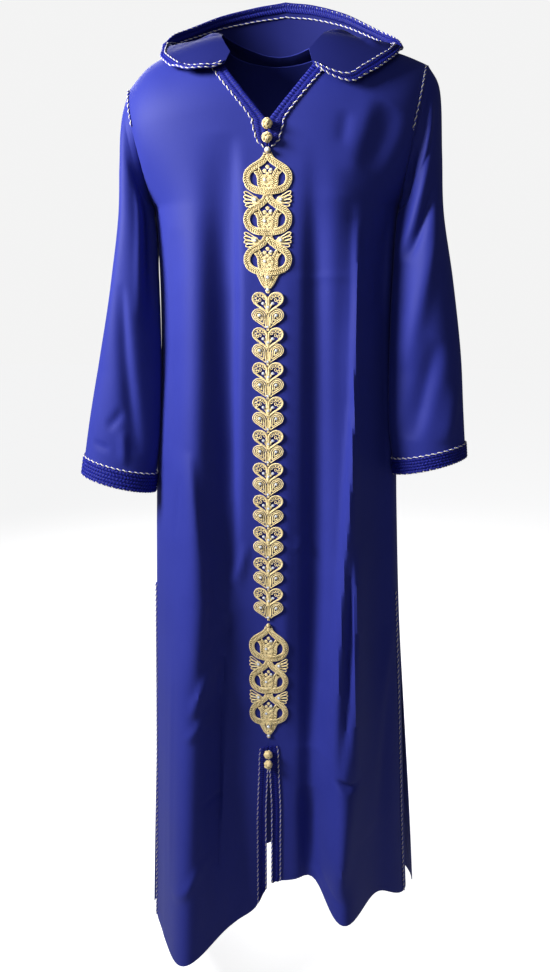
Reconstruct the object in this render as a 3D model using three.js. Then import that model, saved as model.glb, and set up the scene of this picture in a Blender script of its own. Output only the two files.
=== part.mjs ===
// Hooded djellaba in its worn, hollow form. Millimetres, +Z up, the front faces -Y.
// The origin is midway between the shoulders, at the height where they carry the garment.
import * as THREE from "three";

// ---- Driving dimensions --------------------------------------------------------------------
const CLOTH = 1.6;            // wall of the crepe
const SEAM = 0.3;             // clearance between two pieces at a seam
const TRIM_GAP = 0.5;         // clearance between a trim and the cloth under it
const NECK_POINT = 39;        // height of the shoulder line where it meets the neck
const SHOULDER_ROUND = 120;   // height over which the cloth rounds over the shoulder
const ARMHOLE = 242;          // from shoulder line down to the underarm
const ARMHOLE_DEPTH = 58;     // half depth of the armhole, front to back
const V_DEPTH = 133;          // from the neck point down to the foot of the V
const BRAID = 15;             // width of the blue braid on neck, slit and hood
const V_TOP = 58;             // from the neck point down to where the hood leaves the V
const V_BRAID_FOOT = 168;     // from the neck point down to the point of the V braids
const SLIT_TOP = 1180;        // from the neck point down to the top of the front slit
const SLIT_BRAID_TOP = 1145;  // from the neck point down to the top of the slit braids
const SIDE_SLIT_TOP = 872;    // from the neck point down to the top of the side slits
const WAIST = 500;            // distance of the waist below the neck point
const SLIT_DRAW = 9;          // how far the front's edge draws in at the foot of a side slit
const SLIT_GAP = 9;           // half the gap between front and back there
const HEM = 1480;             // from the neck point down to the level hem
const FLAT_FRONT = 42;        // half width that the stiff gold trim holds flat
const FLAT_EASE = 26;         // width beside it over which the folds come in
const HEM_DROP_TOP = 900;     // from the neck point down to where the hem's droop begins
const SECTION_POWER = 2.3;    // fullness of the body's cross section; 2 is an ellipse
const BRAID_WALL = 1.4;       // thickness of the blue braid
const GOLD = 1.8;             // thickness of the gold braidwork
const BUTTON = 7.6;           // radius of a woven button

const GOLD_COLOUR = 0xcdb27c;
const CLOTH_COLOUR = 0x323894;
const BRAID_COLOUR = 0x2b35b4;

// ---- Tables: one row for each section or fold ------------------------------------------------
// Half width and depths of the worn body at each distance below the neck point. The side edges are
// carried over to the left by sway.
const BODY_SECTIONS = [
  { below: 0, half: 230, front: 106, back: 92, sway: 0 },
  { below: 120, half: 214, front: 110, back: 100, sway: 0 },
  { below: 242, half: 194, front: 112, back: 102, sway: 0 },
  { below: 450, half: 191, front: 112, back: 98, sway: 0 },
  { below: 600, half: 202, front: 112, back: 102, sway: -1 },
  { below: 730, half: 208, front: 112, back: 108, sway: -1 },
  { below: 925, half: 217, front: 112, back: 112, sway: 1 },
  { below: 1110, half: 228, front: 112, back: 116, sway: 4 },
  { below: 1310, half: 241, front: 112, back: 120, sway: 6 },
  { below: 1480, half: 252, front: 112, back: 124, sway: 7 },
];
// Height of the shoulder line at each distance from the centre. The right shoulder is carried lower.
const SHOULDER_LINE = [
  { out: 0, left: 39, right: 39 },
  { out: 80, left: 39, right: 39 },
  { out: 140, left: 26, right: 26 },
  { out: 190, left: 12, right: 8 },
  { out: 230, left: -3, right: -27 },
];
// Distance of the neckline from the centre at each distance below the neck point.
const NECKLINE = [
  { below: 0, out: 82 },
  { below: 9, out: 80 },
  { below: 30, out: 75 },
  { below: 58, out: 63 },
  { below: 133, out: 0 },
];
// How far the hem hangs below (-) or above (+) its level line, from side to side.
const FRONT_HEM = [
  { x: -252, drop: -95 },
  { x: -190, drop: -60 },
  { x: -140, drop: -36 },
  { x: -70, drop: -16 },
  { x: -27, drop: 14 },
  { x: 0, drop: 68 },
  { x: 33, drop: 80 },
  { x: 75, drop: 84 },
  { x: 120, drop: 54 },
  { x: 190, drop: 50 },
  { x: 252, drop: 8 },
];
const BACK_HEM = [
  { x: -252, drop: -95 },
  { x: -110, drop: -30 },
  { x: 0, drop: -26 },
  { x: 110, drop: -20 },
  { x: 252, drop: 4 },
];
// Soft folds. They lie at x where they start and at foot at the hem, and swell from start down to the hem.
const FRONT_FOLDS = [
  { x: -112, foot: -140, width: 42, chest: 7, hem: 104, start: 250 },
  { x: -78, foot: -76, width: 22, chest: -9, hem: -12, start: 200 },
  { x: 68, foot: 80, width: 20, chest: -10, hem: -20, start: 200 },
  { x: 104, foot: 140, width: 32, chest: 10, hem: 76, start: 220 },
  { x: 160, foot: 190, width: 20, chest: -6, hem: -16, start: 300 },
];
const BACK_FOLDS = [
  { x: -120, foot: -150, width: 40, chest: 8, hem: 52, start: 300 },
  { x: -45, foot: -60, width: 30, chest: -8, hem: -16, start: 340 },
  { x: 22, foot: 20, width: 30, chest: 9, hem: 34, start: 320 },
  { x: 80, foot: 84, width: 26, chest: -7, hem: -14, start: 360 },
  { x: 128, foot: 158, width: 38, chest: 9, hem: 60, start: 280 },
];
// Sleeve sections from the armhole to the cuff: the outer and inner ends of each ring's long axis,
// the place of its middle from front to back, and its half depth.
const LEFT_SLEEVE = [
  { outX: 230, outZ: -3, inX: 194, inZ: -203, midY: 0, depth: 58 },
  { outX: 249, outZ: -40, inX: 203, inZ: -214, midY: -3, depth: 58 },
  { outX: 256, outZ: -128, inX: 201, inZ: -236, midY: -9, depth: 57 },
  { outX: 262, outZ: -215, inX: 198, inZ: -275, midY: -17, depth: 55 },
  { outX: 280, outZ: -314, inX: 194, inZ: -338, midY: -27, depth: 52 },
  { outX: 297, outZ: -425, inX: 193, inZ: -435, midY: -34, depth: 48 },
  { outX: 306, outZ: -520, inX: 195, inZ: -540, midY: -38, depth: 45 },
  { outX: 313, outZ: -592, inX: 204, inZ: -622, midY: -40, depth: 42 },
];
const RIGHT_SLEEVE = [
  { outX: 230, outZ: -27, inX: 194, inZ: -203, midY: 0, depth: 58 },
  { outX: 241, outZ: -66, inX: 202, inZ: -222, midY: -4, depth: 58 },
  { outX: 242, outZ: -128, inX: 200, inZ: -246, midY: -12, depth: 57 },
  { outX: 244, outZ: -215, inX: 197, inZ: -285, midY: -24, depth: 55 },
  { outX: 262, outZ: -330, inX: 191, inZ: -348, midY: -36, depth: 52 },
  { outX: 286, outZ: -438, inX: 190, inZ: -444, midY: -44, depth: 48 },
  { outX: 307, outZ: -535, inX: 195, inZ: -562, midY: -48, depth: 45 },
  { outX: 325, outZ: -632, inX: 206, inZ: -662, midY: -50, depth: 42 },
];
// Hood sections by bearing from the front, in degrees. Each runs from the neck seam over the
// shoulder (lie) to its lowest line (low), out (swell) and up to the rim: R is the distance from the
// middle of the neck and Z the height there. On the right side
// lift raises the rim and draw takes it in.
const HOOD_SECTIONS = [
  { at: 33, neckR: 104, neckZ: -3, lieR: 107, lieZ: -9, lowR: 110, lowZ: -15, swellR: 113, swellZ: -21,
    rimR: 116, rimZ: -26, lift: 6, draw: 0 },
  { at: 40, neckR: 101, neckZ: 10, lieR: 112, lieZ: 4, lowR: 124, lowZ: -8, swellR: 134, swellZ: -24,
    rimR: 142, rimZ: -40, lift: 18, draw: 0 },
  { at: 48, neckR: 96, neckZ: 22, lieR: 108, lieZ: 16, lowR: 128, lowZ: -2, swellR: 146, swellZ: -26,
    rimR: 161, rimZ: -47, lift: 25, draw: 2 },
  { at: 55, neckR: 92, neckZ: 30, lieR: 106, lieZ: 26, lowR: 128, lowZ: 8, swellR: 150, swellZ: -15,
    rimR: 171, rimZ: -37, lift: 22, draw: 5 },
  { at: 62, neckR: 87, neckZ: 36, lieR: 105, lieZ: 38, lowR: 130, lowZ: 26, swellR: 157, swellZ: 0,
    rimR: 180, rimZ: -27, lift: 16, draw: 9 },
  { at: 70, neckR: 83, neckZ: 41, lieR: 104, lieZ: 48, lowR: 134, lowZ: 40, swellR: 166, swellZ: 22,
    rimR: 190, rimZ: -4, lift: 10, draw: 14 },
  { at: 80, neckR: 80, neckZ: 45, lieR: 104, lieZ: 54, lowR: 138, lowZ: 47, swellR: 168, swellZ: 36,
    rimR: 190, rimZ: 14, lift: 8, draw: 16 },
  { at: 94, neckR: 78, neckZ: 47, lieR: 106, lieZ: 56, lowR: 142, lowZ: 46, swellR: 170, swellZ: 36,
    rimR: 191, rimZ: 30, lift: 12, draw: 14 },
  { at: 106, neckR: 75, neckZ: 46, lieR: 108, lieZ: 54, lowR: 144, lowZ: 36, swellR: 178, swellZ: 34,
    rimR: 184, rimZ: 52, lift: 14, draw: 9 },
  { at: 120, neckR: 69, neckZ: 42, lieR: 110, lieZ: 38, lowR: 138, lowZ: -36, swellR: 180, swellZ: 10,
    rimR: 162, rimZ: 77, lift: 9, draw: 4 },
  { at: 138, neckR: 63, neckZ: 37, lieR: 114, lieZ: 16, lowR: 134, lowZ: -146, swellR: 178, swellZ: -30,
    rimR: 147, rimZ: 104, lift: 4, draw: 0 },
  { at: 160, neckR: 60, neckZ: 32, lieR: 110, lieZ: -2, lowR: 132, lowZ: -214, swellR: 176, swellZ: -66,
    rimR: 138, rimZ: 124, lift: 0, draw: 0 },
  { at: 180, neckR: 59, neckZ: 30, lieR: 109, lieZ: -5, lowR: 133, lowZ: -246, swellR: 176, swellZ: -84,
    rimR: 136, rimZ: 132, lift: 0, draw: 0 },
];

// ---- Cloth surfaces --------------------------------------------------------------------------
const clamp = THREE.MathUtils.clamp;
const lerp = THREE.MathUtils.lerp;
const ease = THREE.MathUtils.smoothstep;

// Value of one column of a table at a place along its key column, on a smooth curve through the rows.
function along(table, key, at, column) {
  const last = table.length - 1;
  const place = clamp(at, table[0][key], table[last][key]);
  let row = 0;
  while (row < last - 1 && place > table[row + 1][key]) row += 1;
  const from = table[row];
  const to = table[row + 1];
  const span = to[key] - from[key];
  const before = table[Math.max(row - 1, 0)];
  const after = table[Math.min(row + 2, last)];
  const slopeIn = (to[column] - before[column]) / (to[key] - before[key]);
  const slopeOut = (after[column] - from[column]) / (after[key] - from[key]);
  const t = (place - from[key]) / span;
  const t2 = t * t;
  const t3 = t2 * t;
  return (2 * t3 - 3 * t2 + 1) * from[column] + (t3 - 2 * t2 + t) * span * slopeIn
    + (3 * t2 - 2 * t3) * to[column] + (t3 - t2) * span * slopeOut;
}

function shoulderHeight(x) {
  return along(SHOULDER_LINE, "out", Math.abs(x), x > 0 ? "left" : "right");
}

// Distance of the armhole edge or side seam from the centre.
function halfWidth(below) {
  if (below < ARMHOLE) {
    return lerp(BODY_SECTIONS[0].half, BODY_SECTIONS[2].half, below / ARMHOLE);
  }
  return along(BODY_SECTIONS, "below", below, "half");
}

// Below the side slits the front's edge draws in and the back's stands out, with a gap between.
const SLIT_LEAD = 10;         // how far above its top a slit begins to open
function slitOpening(below) {
  return ease(below, SIDE_SLIT_TOP - SLIT_LEAD, HEM);
}

// Distance of a panel's side edge from the centre; side is 1 on the wearer's left, -1 on the right.
function sideEdge(face, side, below) {
  const sway = along(BODY_SECTIONS, "below", below, "sway");
  return halfWidth(below) + side * sway + (face < 0 ? -SLIT_DRAW : SLIT_DRAW / 2) * slitOpening(below);
}

const FOLD_LEAD = 60;         // a fold begins this far above its start
const FOLD_RISE = 160;        // and has its height at the chest this far below it
const FOLD_SPREAD = 0.4;      // how much wider a fold is at the hem
const FOLD_GROWTH = 1.6;      // power by which it swells from start to hem

function foldSwell(folds, x, below) {
  let swell = 0;
  for (const fold of folds) {
    const fall = clamp((below - fold.start) / (HEM - fold.start), 0, 1);
    const middle = lerp(fold.x, fold.foot, fall);
    const reach = (x - middle) / (fold.width * (1 + FOLD_SPREAD * fall));
    const height = ease(below, fold.start - FOLD_LEAD, fold.start + FOLD_RISE) * fold.chest
      + (fold.hem - fold.chest) * Math.pow(fall, FOLD_GROWTH);
    swell += height * Math.exp(-reach * reach);
  }
  return swell;
}

const EDGE_CALM = 1.6;        // folds reach their full height this much inside the side edges

// A point of the body cloth: face is -1 in front and 1 behind, below is measured down the cloth.
function bodyPoint(face, x, below) {
  const half = sideEdge(face, x < 0 ? -1 : 1, below);
  const out = clamp((Math.abs(x) - FLAT_FRONT) / (half - FLAT_FRONT), 0, 1);
  const section = Math.sqrt(1 - Math.pow(out, SECTION_POWER));
  const round = 1 - clamp(below / SHOULDER_ROUND, 0, 1);
  const overShoulder = Math.sqrt(1 - round * round);
  const armTurn = clamp(2 * below / ARMHOLE - 1, -1, 1);
  const edge = ARMHOLE_DEPTH * Math.sqrt(1 - armTurn * armTurn) + SLIT_GAP * slitOpening(below);
  const full = along(BODY_SECTIONS, "below", below, face < 0 ? "front" : "back") * overShoulder;
  const folds = foldSwell(face < 0 ? FRONT_FOLDS : BACK_FOLDS, x, below);
  const flatness = ease(Math.abs(x), FLAT_FRONT, FLAT_FRONT + FLAT_EASE);
  const inFolds = folds * Math.min(section * EDGE_CALM, 1) * (face < 0 ? flatness : 1);
  const depth = edge + (full - edge) * section + inFolds;
  const sloped = (shoulderHeight(x) - NECK_POINT) * (1 - ease(below, 0, ARMHOLE));
  const hemDrop = along(face < 0 ? FRONT_HEM : BACK_HEM, "x", x, "drop");
  const toHem = clamp((below - HEM_DROP_TOP) / (HEM - HEM_DROP_TOP), 0, 1);
  const height = NECK_POINT - below + sloped + hemDrop * toHem * toHem;
  return new THREE.Vector3(x, face * (depth + SEAM / 2), height);
}

function ringPoint(table, side, t, angle) {
  const rows = table.map((row, index) => ({ ...row, place: index }));
  const place = t * (table.length - 1);
  const at = (column) => along(rows, "place", place, column);
  const middleX = (at("outX") + at("inX")) / 2;
  const middleZ = (at("outZ") + at("inZ")) / 2;
  const reachX = (at("outX") - at("inX")) / 2;
  const reachZ = (at("outZ") - at("inZ")) / 2;
  return new THREE.Vector3(
    side * (middleX + reachX * Math.cos(angle)),
    at("midY") - at("depth") * Math.sin(angle),
    middleZ + reachZ * Math.cos(angle),
  );
}

const NUDGE = 0.02;           // step, in grid cells, over which a normal is measured

// A box one layer thick whose corners are laid on the cloth: pointAt gives the point of column i
// and row j, and the wall lies between the offsets inner and outer along the normal there.
function clothWall(columns, rows, inner, outer, pointAt) {
  const box = new THREE.BoxGeometry(1, 1, 1, columns, rows, 1);
  const corners = box.attributes.position;
  for (let k = 0; k < corners.count; k += 1) {
    const i = Math.round((corners.getX(k) + 0.5) * columns);
    const j = Math.round((corners.getY(k) + 0.5) * rows);
    const west = pointAt(Math.max(i - NUDGE, 0), j);
    const east = pointAt(Math.min(i + NUDGE, columns), j);
    const south = pointAt(i, Math.max(j - NUDGE, 0));
    const north = pointAt(i, Math.min(j + NUDGE, rows));
    const normal = east.sub(west).cross(north.sub(south)).normalize();
    const offset = corners.getZ(k) > 0 ? outer : inner;
    const place = pointAt(i, j).addScaledVector(normal, offset);
    corners.setXYZ(k, place.x, place.y, place.z);
  }
  creaseAlike(box);
  box.computeVertexNormals();
  return box;
}

// Folds the cells of the inner face along the same diagonals as those of the outer face.
const INNER_FACE = 5;         // a box's last group of triangles, facing -Z before it is laid
const CELL_CORNERS = 6;       // two triangles to a cell
function creaseAlike(box) {
  const index = box.index;
  const innerFace = box.groups[INNER_FACE];
  for (let k = innerFace.start; k < innerFace.start + innerFace.count; k += CELL_CORNERS) {
    const [a, b, c, d] = [index.getX(k), index.getX(k + 1), index.getX(k + 4), index.getX(k + 5)];
    [a, b, c, a, c, d].forEach((corner, step) => index.setX(k + step, corner));
  }
}

// Value between the entries of a list, at a whole or fractional place.
function between(list, place) {
  const first = clamp(Math.floor(place), 0, list.length - 2);
  return lerp(list[first], list[first + 1], place - first);
}

// ---- Scene graph -----------------------------------------------------------------------------
const djellaba = new THREE.Group();

function finish(colour, roughness, metalness) {
  return () => new THREE.MeshStandardMaterial({ color: colour, roughness, metalness });
}
const crepe = finish(CLOTH_COLOUR, 0.62, 0);
const blueBraid = finish(BRAID_COLOUR, 0.45, 0);
const goldBraid = finish(GOLD_COLOUR, 0.42, 0.35);

function addPiece(name, geometry, material) {
  const mesh = new THREE.Mesh(geometry, material());
  mesh.name = name;
  djellaba.add(mesh);
}

// ---- Fronts ----------------------------------------------------------------------------------
const FRONT_ROWS = [HEM, 1435, 1390, 1340, 1290, 1235, SLIT_TOP, SLIT_BRAID_TOP, 1060, 990, 930,
  SIDE_SLIT_TOP, 810, 745, 680, 615, 550, WAIST, 430, 375, 325, 280, ARMHOLE, 205, V_BRAID_FOOT, 151,
  V_DEPTH, 114, 96, 77, V_TOP, 44, 30, 18, 9, 3, 0];
const FRONT_COLUMNS = 11;

const SLIT_SPREAD = 4;        // half the gap between the edges of the front slit
const SLIT_EASE = { above: 20, below: 120 };  // where that gap opens, about the slit's top

function neckOrSlitEdge(below) {
  if (below <= V_DEPTH) return along(NECKLINE, "below", below, "out") + SEAM / 2;
  return SEAM / 2 + SLIT_SPREAD * ease(below, SLIT_TOP - SLIT_EASE.above, SLIT_TOP + SLIT_EASE.below);
}

// The braid narrows to a point below the V and opens out again above the slit.
const POINT_DRAW = 0.85;      // part of its width that the braid loses at the point
const POINT_START = 10;       // how far above the foot of the V it begins to narrow
const SLIT_BRAID_EASE = { above: 60, below: 20 };  // where it opens out, about the slit braid's top

function braidWidth(below) {
  const point = ease(below, V_DEPTH - POINT_START, V_BRAID_FOOT);
  const slit = ease(below, SLIT_BRAID_TOP - SLIT_BRAID_EASE.above, SLIT_BRAID_TOP + SLIT_BRAID_EASE.below);
  return BRAID * (1 - POINT_DRAW * point + POINT_DRAW * slit);
}

// side is 1 for the wearer's left front and -1 for the right.
function frontPoint(side, column, row) {
  const below = between(FRONT_ROWS, row);
  const edge = neckOrSlitEdge(below);
  const half = sideEdge(-1, side, below);
  const braided = edge + braidWidth(below);
  const spread = Math.sin((Math.PI / 2) * clamp((column - 1) / (FRONT_COLUMNS - 1), 0, 1));
  const out = column < 1 ? lerp(edge, braided, column) : lerp(braided, half, spread);
  return bodyPoint(-1, side * out, below);
}

// A front or back is one cut of cloth. It is held as four lengths that meet with the clearance of
// a seam, so that each can be hulled closely round the hollow inside.
const LENGTHS = [
  { name: "skirt", foot: HEM, top: SIDE_SLIT_TOP },
  { name: "hips", foot: SIDE_SLIT_TOP, top: WAIST },
  { name: "chest", foot: WAIST, top: ARMHOLE },
  { name: "yoke", foot: ARMHOLE, top: 0 },
];

// Adds the lengths of a panel whose grid of points is given by column and row.
function addLengths(name, columns, rows, pointAt) {
  for (const length of LENGTHS) {
    const first = rows.indexOf(length.foot);
    const last = rows.indexOf(length.top);
    const low = first === 0 ? 0 : first + SEAM / 2 / (rows[first] - rows[first + 1]);
    const high = length.top === 0 ? last : last - SEAM / 2 / (rows[last - 1] - rows[last]);
    const grid = (i, j) => pointAt(i, clamp(first + j, low, high));
    addPiece(`${name}_${length.name}`, clothWall(columns, last - first, -CLOTH, 0, grid), crepe);
  }
}

// The grid runs from the wearer's right to left, so that the cloth's face is outward.
for (const [name, side] of [["front_left", 1], ["front_right", -1]]) {
  const grid = (i, j) => frontPoint(side, side > 0 ? i : FRONT_COLUMNS - i, j);
  addLengths(name, FRONT_COLUMNS, FRONT_ROWS, grid);
}

// ---- Back ------------------------------------------------------------------------------------
const BACK_ROWS = [HEM, 1425, 1365, 1300, 1235, 1165, 1095, 1020, 945, SIDE_SLIT_TOP, 800, 725, 650,
  575, WAIST, 430, 365, 300, ARMHOLE, 200, 160, 120, 84, 54, 30, 12, 3, 0];
const BACK_HALF_COLUMNS = 9;
const NECK_DIP = 24;          // how far the back neckline dips in the middle

function backPoint(column, row) {
  const turn = (column - BACK_HALF_COLUMNS) / BACK_HALF_COLUMNS;
  const level = between(BACK_ROWS, row);
  const x = sideEdge(1, turn < 0 ? 1 : -1, level) * Math.sin((Math.PI / 2) * turn);
  const scoop = Math.sqrt(1 - Math.pow(clamp(Math.abs(x) / NECKLINE[0].out, 0, 1), 2));
  const below = level + NECK_DIP * scoop * (1 - ease(level, 0, ARMHOLE));
  return bodyPoint(1, -x, below);
}

addLengths("back", 2 * BACK_HALF_COLUMNS, BACK_ROWS, backPoint);

// ---- Sleeves: one panel each, closed by the underarm seam --------------------------------------
const SLEEVE_COLUMNS = 16;
// Places down the sleeve, from the cuff's edge and the top of its braid up to the armhole.
const SLEEVE_PLACES = [1, 0.956, 0.9, 0.83, 0.76, 0.69, 0.62, 0.55, 0.48, 0.41, 0.34, 0.27, 0.2, 0.14,
  0.09, 0.04, 0.012, 0];
const SLEEVE_START = 1.4;     // clearance of a sleeve's ring outside the armhole
const SEAM_TURN = 0.004;      // half the underarm seam's clearance, as a part of one turn

function sleevePoint(table, side, column, row) {
  const down = between(SLEEVE_PLACES, row);
  const turn = lerp(SEAM_TURN, 1 - SEAM_TURN, column / SLEEVE_COLUMNS);
  const place = ringPoint(table, side, down, Math.PI + side * turn * 2 * Math.PI);
  place.x += side * SLEEVE_START;
  return place;
}

for (const [end, table, side] of [["left", LEFT_SLEEVE, 1], ["right", RIGHT_SLEEVE, -1]]) {
  const grid = (i, j) => sleevePoint(table, side, i, j);
  addPiece(`sleeve_${end}`, clothWall(SLEEVE_COLUMNS, SLEEVE_PLACES.length - 1, -CLOTH, 0, grid), crepe);
  const braid = clothWall(SLEEVE_COLUMNS, 1, TRIM_GAP, TRIM_GAP + BRAID_WALL, grid);
  addPiece(`cuff_braid_${end}`, braid, blueBraid);
}

// ---- Blue braids on the fronts -----------------------------------------------------------------

// The braid runs on the first column of a front, between two of its rows.
function addFrontBraid(name, side, firstRow, lastRow) {
  const grid = (i, j) => frontPoint(side, side > 0 ? i : 1 - i, firstRow + j);
  const wall = clothWall(1, lastRow - firstRow, TRIM_GAP, TRIM_GAP + BRAID_WALL, grid);
  addPiece(name, wall, blueBraid);
}

for (const [end, side] of [["left", 1], ["right", -1]]) {
  addFrontBraid(`neck_braid_${end}`, side, FRONT_ROWS.indexOf(V_BRAID_FOOT), FRONT_ROWS.indexOf(V_TOP));
  addFrontBraid(`slit_braid_${end}`, side, 0, FRONT_ROWS.indexOf(SLIT_BRAID_TOP));
}

// ---- Hood: lies open over the shoulders, its bag hanging behind --------------------------------
const HOOD_COLUMNS = 32;
const HOOD_ROWS = 10;
const HOOD_FRONT = 33;        // bearing of the hood's front corners from straight ahead, degrees
const HOOD_REST = 11;         // least height of the hood's face above the cloth it lies on
const ON_SHOULDER = 2;        // a point this near the shoulder line lies on it, not beside it
const HOOD_STATIONS = ["neck", "lie", "low", "swell", "rim"];

// Moves a point out of the body until the hood's wall lies clear of the cloth there.
function restOnBody(place) {
  const face = place.y < 0 ? -1 : 1;
  const slope = shoulderHeight(place.x) - NECK_POINT;
  let below = NECK_POINT - place.z + slope;
  for (let turn = 0; turn < 4; turn += 1) {
    below = NECK_POINT - place.z + slope * (1 - ease(below, 0, ARMHOLE));
  }
  if (below > ON_SHOULDER && Math.abs(place.x) < halfWidth(below)) {
    const least = Math.abs(bodyPoint(face, place.x, below).y) + HOOD_REST;
    place.y = face * Math.max(Math.abs(place.y), least);
  }
  return place;
}

function hoodPoint(column, row) {
  const turn = 1 - (2 * column) / HOOD_COLUMNS;
  const bearing = 180 - (180 - HOOD_FRONT) * Math.abs(turn);
  const lift = turn < 0 ? along(HOOD_SECTIONS, "at", bearing, "lift") : 0;
  const draw = turn < 0 ? along(HOOD_SECTIONS, "at", bearing, "draw") : 0;
  const profile = new THREE.CatmullRomCurve3(HOOD_STATIONS.map((station, index) => new THREE.Vector3(
    along(HOOD_SECTIONS, "at", bearing, `${station}R`) - (draw * index * index) / 16,
    0,
    along(HOOD_SECTIONS, "at", bearing, `${station}Z`) + (lift * index * index) / 16,
  )));
  const cut = profile.getPoint(1 - row / HOOD_ROWS);
  const angle = THREE.MathUtils.degToRad(bearing) * (turn < 0 ? -1 : 1);
  return restOnBody(new THREE.Vector3(cut.x * Math.sin(angle), -cut.x * Math.cos(angle), cut.z));
}

// The hood is two halves, joined by a seam down the middle of its bag.
const HALF_HOOD = HOOD_COLUMNS / 2;
const HOOD_SEAM_TURN = 0.02;  // half the seam's clearance, as a part of one column
for (const [end, first] of [["left", 0], ["right", HALF_HOOD]]) {
  const low = first === 0 ? 0 : first + HOOD_SEAM_TURN;
  const high = first === 0 ? HALF_HOOD - HOOD_SEAM_TURN : HOOD_COLUMNS;
  const grid = (i, j) => hoodPoint(clamp(first + i, low, high), j);
  addPiece(`hood_${end}`, clothWall(HALF_HOOD, HOOD_ROWS, -CLOTH, 0, grid), crepe);
}

// The braid keeps its width all along the rim.
function hoodBraidPoint(column, row) {
  const rim = hoodPoint(column, 0);
  const within = hoodPoint(column, 1);
  return hoodPoint(column, row * Math.min(BRAID / rim.distanceTo(within), 1));
}

const hoodBraid = clothWall(HOOD_COLUMNS, 1, TRIM_GAP, TRIM_GAP + BRAID_WALL, hoodBraidPoint);
addPiece("hood_braid", hoodBraid, blueBraid);

// ---- Gold braidwork on the centre front ---------------------------------------------------------
const PANEL_WIDTH = 36.6;     // half width of the upper braidwork panel
const TIER = 57;              // height of one of its tiers
const EYE = { out: 20.5, wide: 4.3, high: 7.6 };  // the almond openings beside each tier's middle
const CURVE_STEPS = 5;        // straight steps in each curve of a flat shape
const TIERS = 3;
// Outline of the panel's pointed head, of the fans between two tiers and of its foot.
const HEAD_EDGE = [{ below: -36, out: 4 }, { below: -31, out: 8 }, { below: -23, out: 17 }];
const FAN_EDGE = [{ below: 22, out: 33 }, { below: 35, out: 33.5 }];
const FOOT_EDGE = [{ below: 25, out: 17 }, { below: 40, out: 10 }, { below: 46, out: 5 }];
// One tier's edge: distance below its middle, and from the centre.
const TIER_EDGE = [
  { below: -19, out: 28 },
  { below: -10, out: 34.6 },
  { below: 0, out: PANEL_WIDTH },
  { below: 11, out: 34.8 },
  { below: 19, out: 29.5 },
];

// Height and depth of the front's face where the stiff trim holds it flat.
function frontFaceY(height) {
  const below = NECK_POINT - height;
  let row = FRONT_ROWS.findIndex((value) => value <= below);
  row = Math.max(row, 1);
  const part = (FRONT_ROWS[row - 1] - below) / (FRONT_ROWS[row - 1] - FRONT_ROWS[row]);
  return lerp(frontPoint(1, 1, row - 1).y, frontPoint(1, 1, row).y, part);
}

// Cuts a flat shape from gold braidwork and lays it on the front, with its own zero at height.
function layOnFront(name, shape, height, lift) {
  const cut = { depth: GOLD, bevelEnabled: false, curveSegments: CURVE_STEPS };
  const piece = new THREE.ExtrudeGeometry(shape, cut);
  const corners = piece.attributes.position;
  for (let k = 0; k < corners.count; k += 1) {
    const z = height + corners.getY(k);
    corners.setXYZ(k, corners.getX(k), frontFaceY(z) - lift - corners.getZ(k), z);
  }
  piece.computeVertexNormals();
  addPiece(name, piece, goldBraid);
}

function braidworkPanel(wide, high) {
  const right = [];
  const trace = (edges, tier) => {
    for (const edge of edges) right.push([edge.out * wide, -(tier * TIER + edge.below) * high]);
  };
  trace(HEAD_EDGE, 0);
  for (let tier = 0; tier < TIERS; tier += 1) {
    trace(TIER_EDGE, tier);
    if (tier < TIERS - 1) trace(FAN_EDGE, tier);
  }
  trace(FOOT_EDGE, TIERS - 1);
  const left = right.map(([x, y]) => [-x, y]).reverse();
  const shape = new THREE.Shape([...left, ...right].map(([x, y]) => new THREE.Vector2(x, y)));
  for (let tier = 0; tier < TIERS; tier += 1) {
    for (const side of [-1, 1]) {
      const eye = new THREE.Path();
      const [out, down] = [side * EYE.out * wide, -tier * TIER * high];
      eye.absellipse(out, down, EYE.wide * wide, EYE.high * high, 0, 2 * Math.PI);
      shape.holes.push(eye);
    }
  }
  return shape;
}

const UPPER_PANEL = -176;     // height of the upper panel's first tier
const LOWER_PANEL = -912;     // height of the lower panel's first tier
const LOWER_STRETCH = { wide: 0.91, high: 1.09 };  // the lower panel is narrower and longer
layOnFront("braidwork_upper", braidworkPanel(1, 1), UPPER_PANEL, TRIM_GAP);
const lowerPanel = braidworkPanel(LOWER_STRETCH.wide, LOWER_STRETCH.high);
layOnFront("braidwork_lower", lowerPanel, LOWER_PANEL, TRIM_GAP);

// A pair of leaves is one heart: an openwork pair and a close spiral pair alternate.
const LEAF_TOP = -338;        // height of the first pair's top
const LEAF_PITCH = 26.15;     // from one pair's top to the next
const LEAF_PAIRS = 20;
const LEAF_WIDE = { openwork: 23, spiral: 24 };   // half the width of a pair
const LEAF_OPENING = { out: 13.5, down: 9.5, wide: 5.6, high: 4.4 };
const LEAF_NOTCH = -7;        // where the two leaves part at the top

// Draws the pair's right leaf from the notch to the point, and the left one back up again.
function leafPair(openwork) {
  const wide = openwork ? LEAF_WIDE.openwork : LEAF_WIDE.spiral;
  const shape = new THREE.Shape();
  shape.moveTo(0, LEAF_NOTCH);
  shape.bezierCurveTo(3, -1, 9, 0, 13, 0);
  shape.bezierCurveTo(19, 0, wide, -4, wide, -10);
  shape.bezierCurveTo(wide, -17, 10, -23, 0, -30);
  shape.bezierCurveTo(-10, -23, -wide, -17, -wide, -10);
  shape.bezierCurveTo(-wide, -4, -19, 0, -13, 0);
  shape.bezierCurveTo(-9, 0, -3, -1, 0, LEAF_NOTCH);
  if (openwork) {
    for (const side of [-1, 1]) {
      const { out, down, wide: reach, high } = LEAF_OPENING;
      const opening = new THREE.Path();
      opening.absellipse(side * out, -down, reach, high, 0, 2 * Math.PI);
      shape.holes.push(opening);
    }
  }
  return shape;
}

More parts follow.
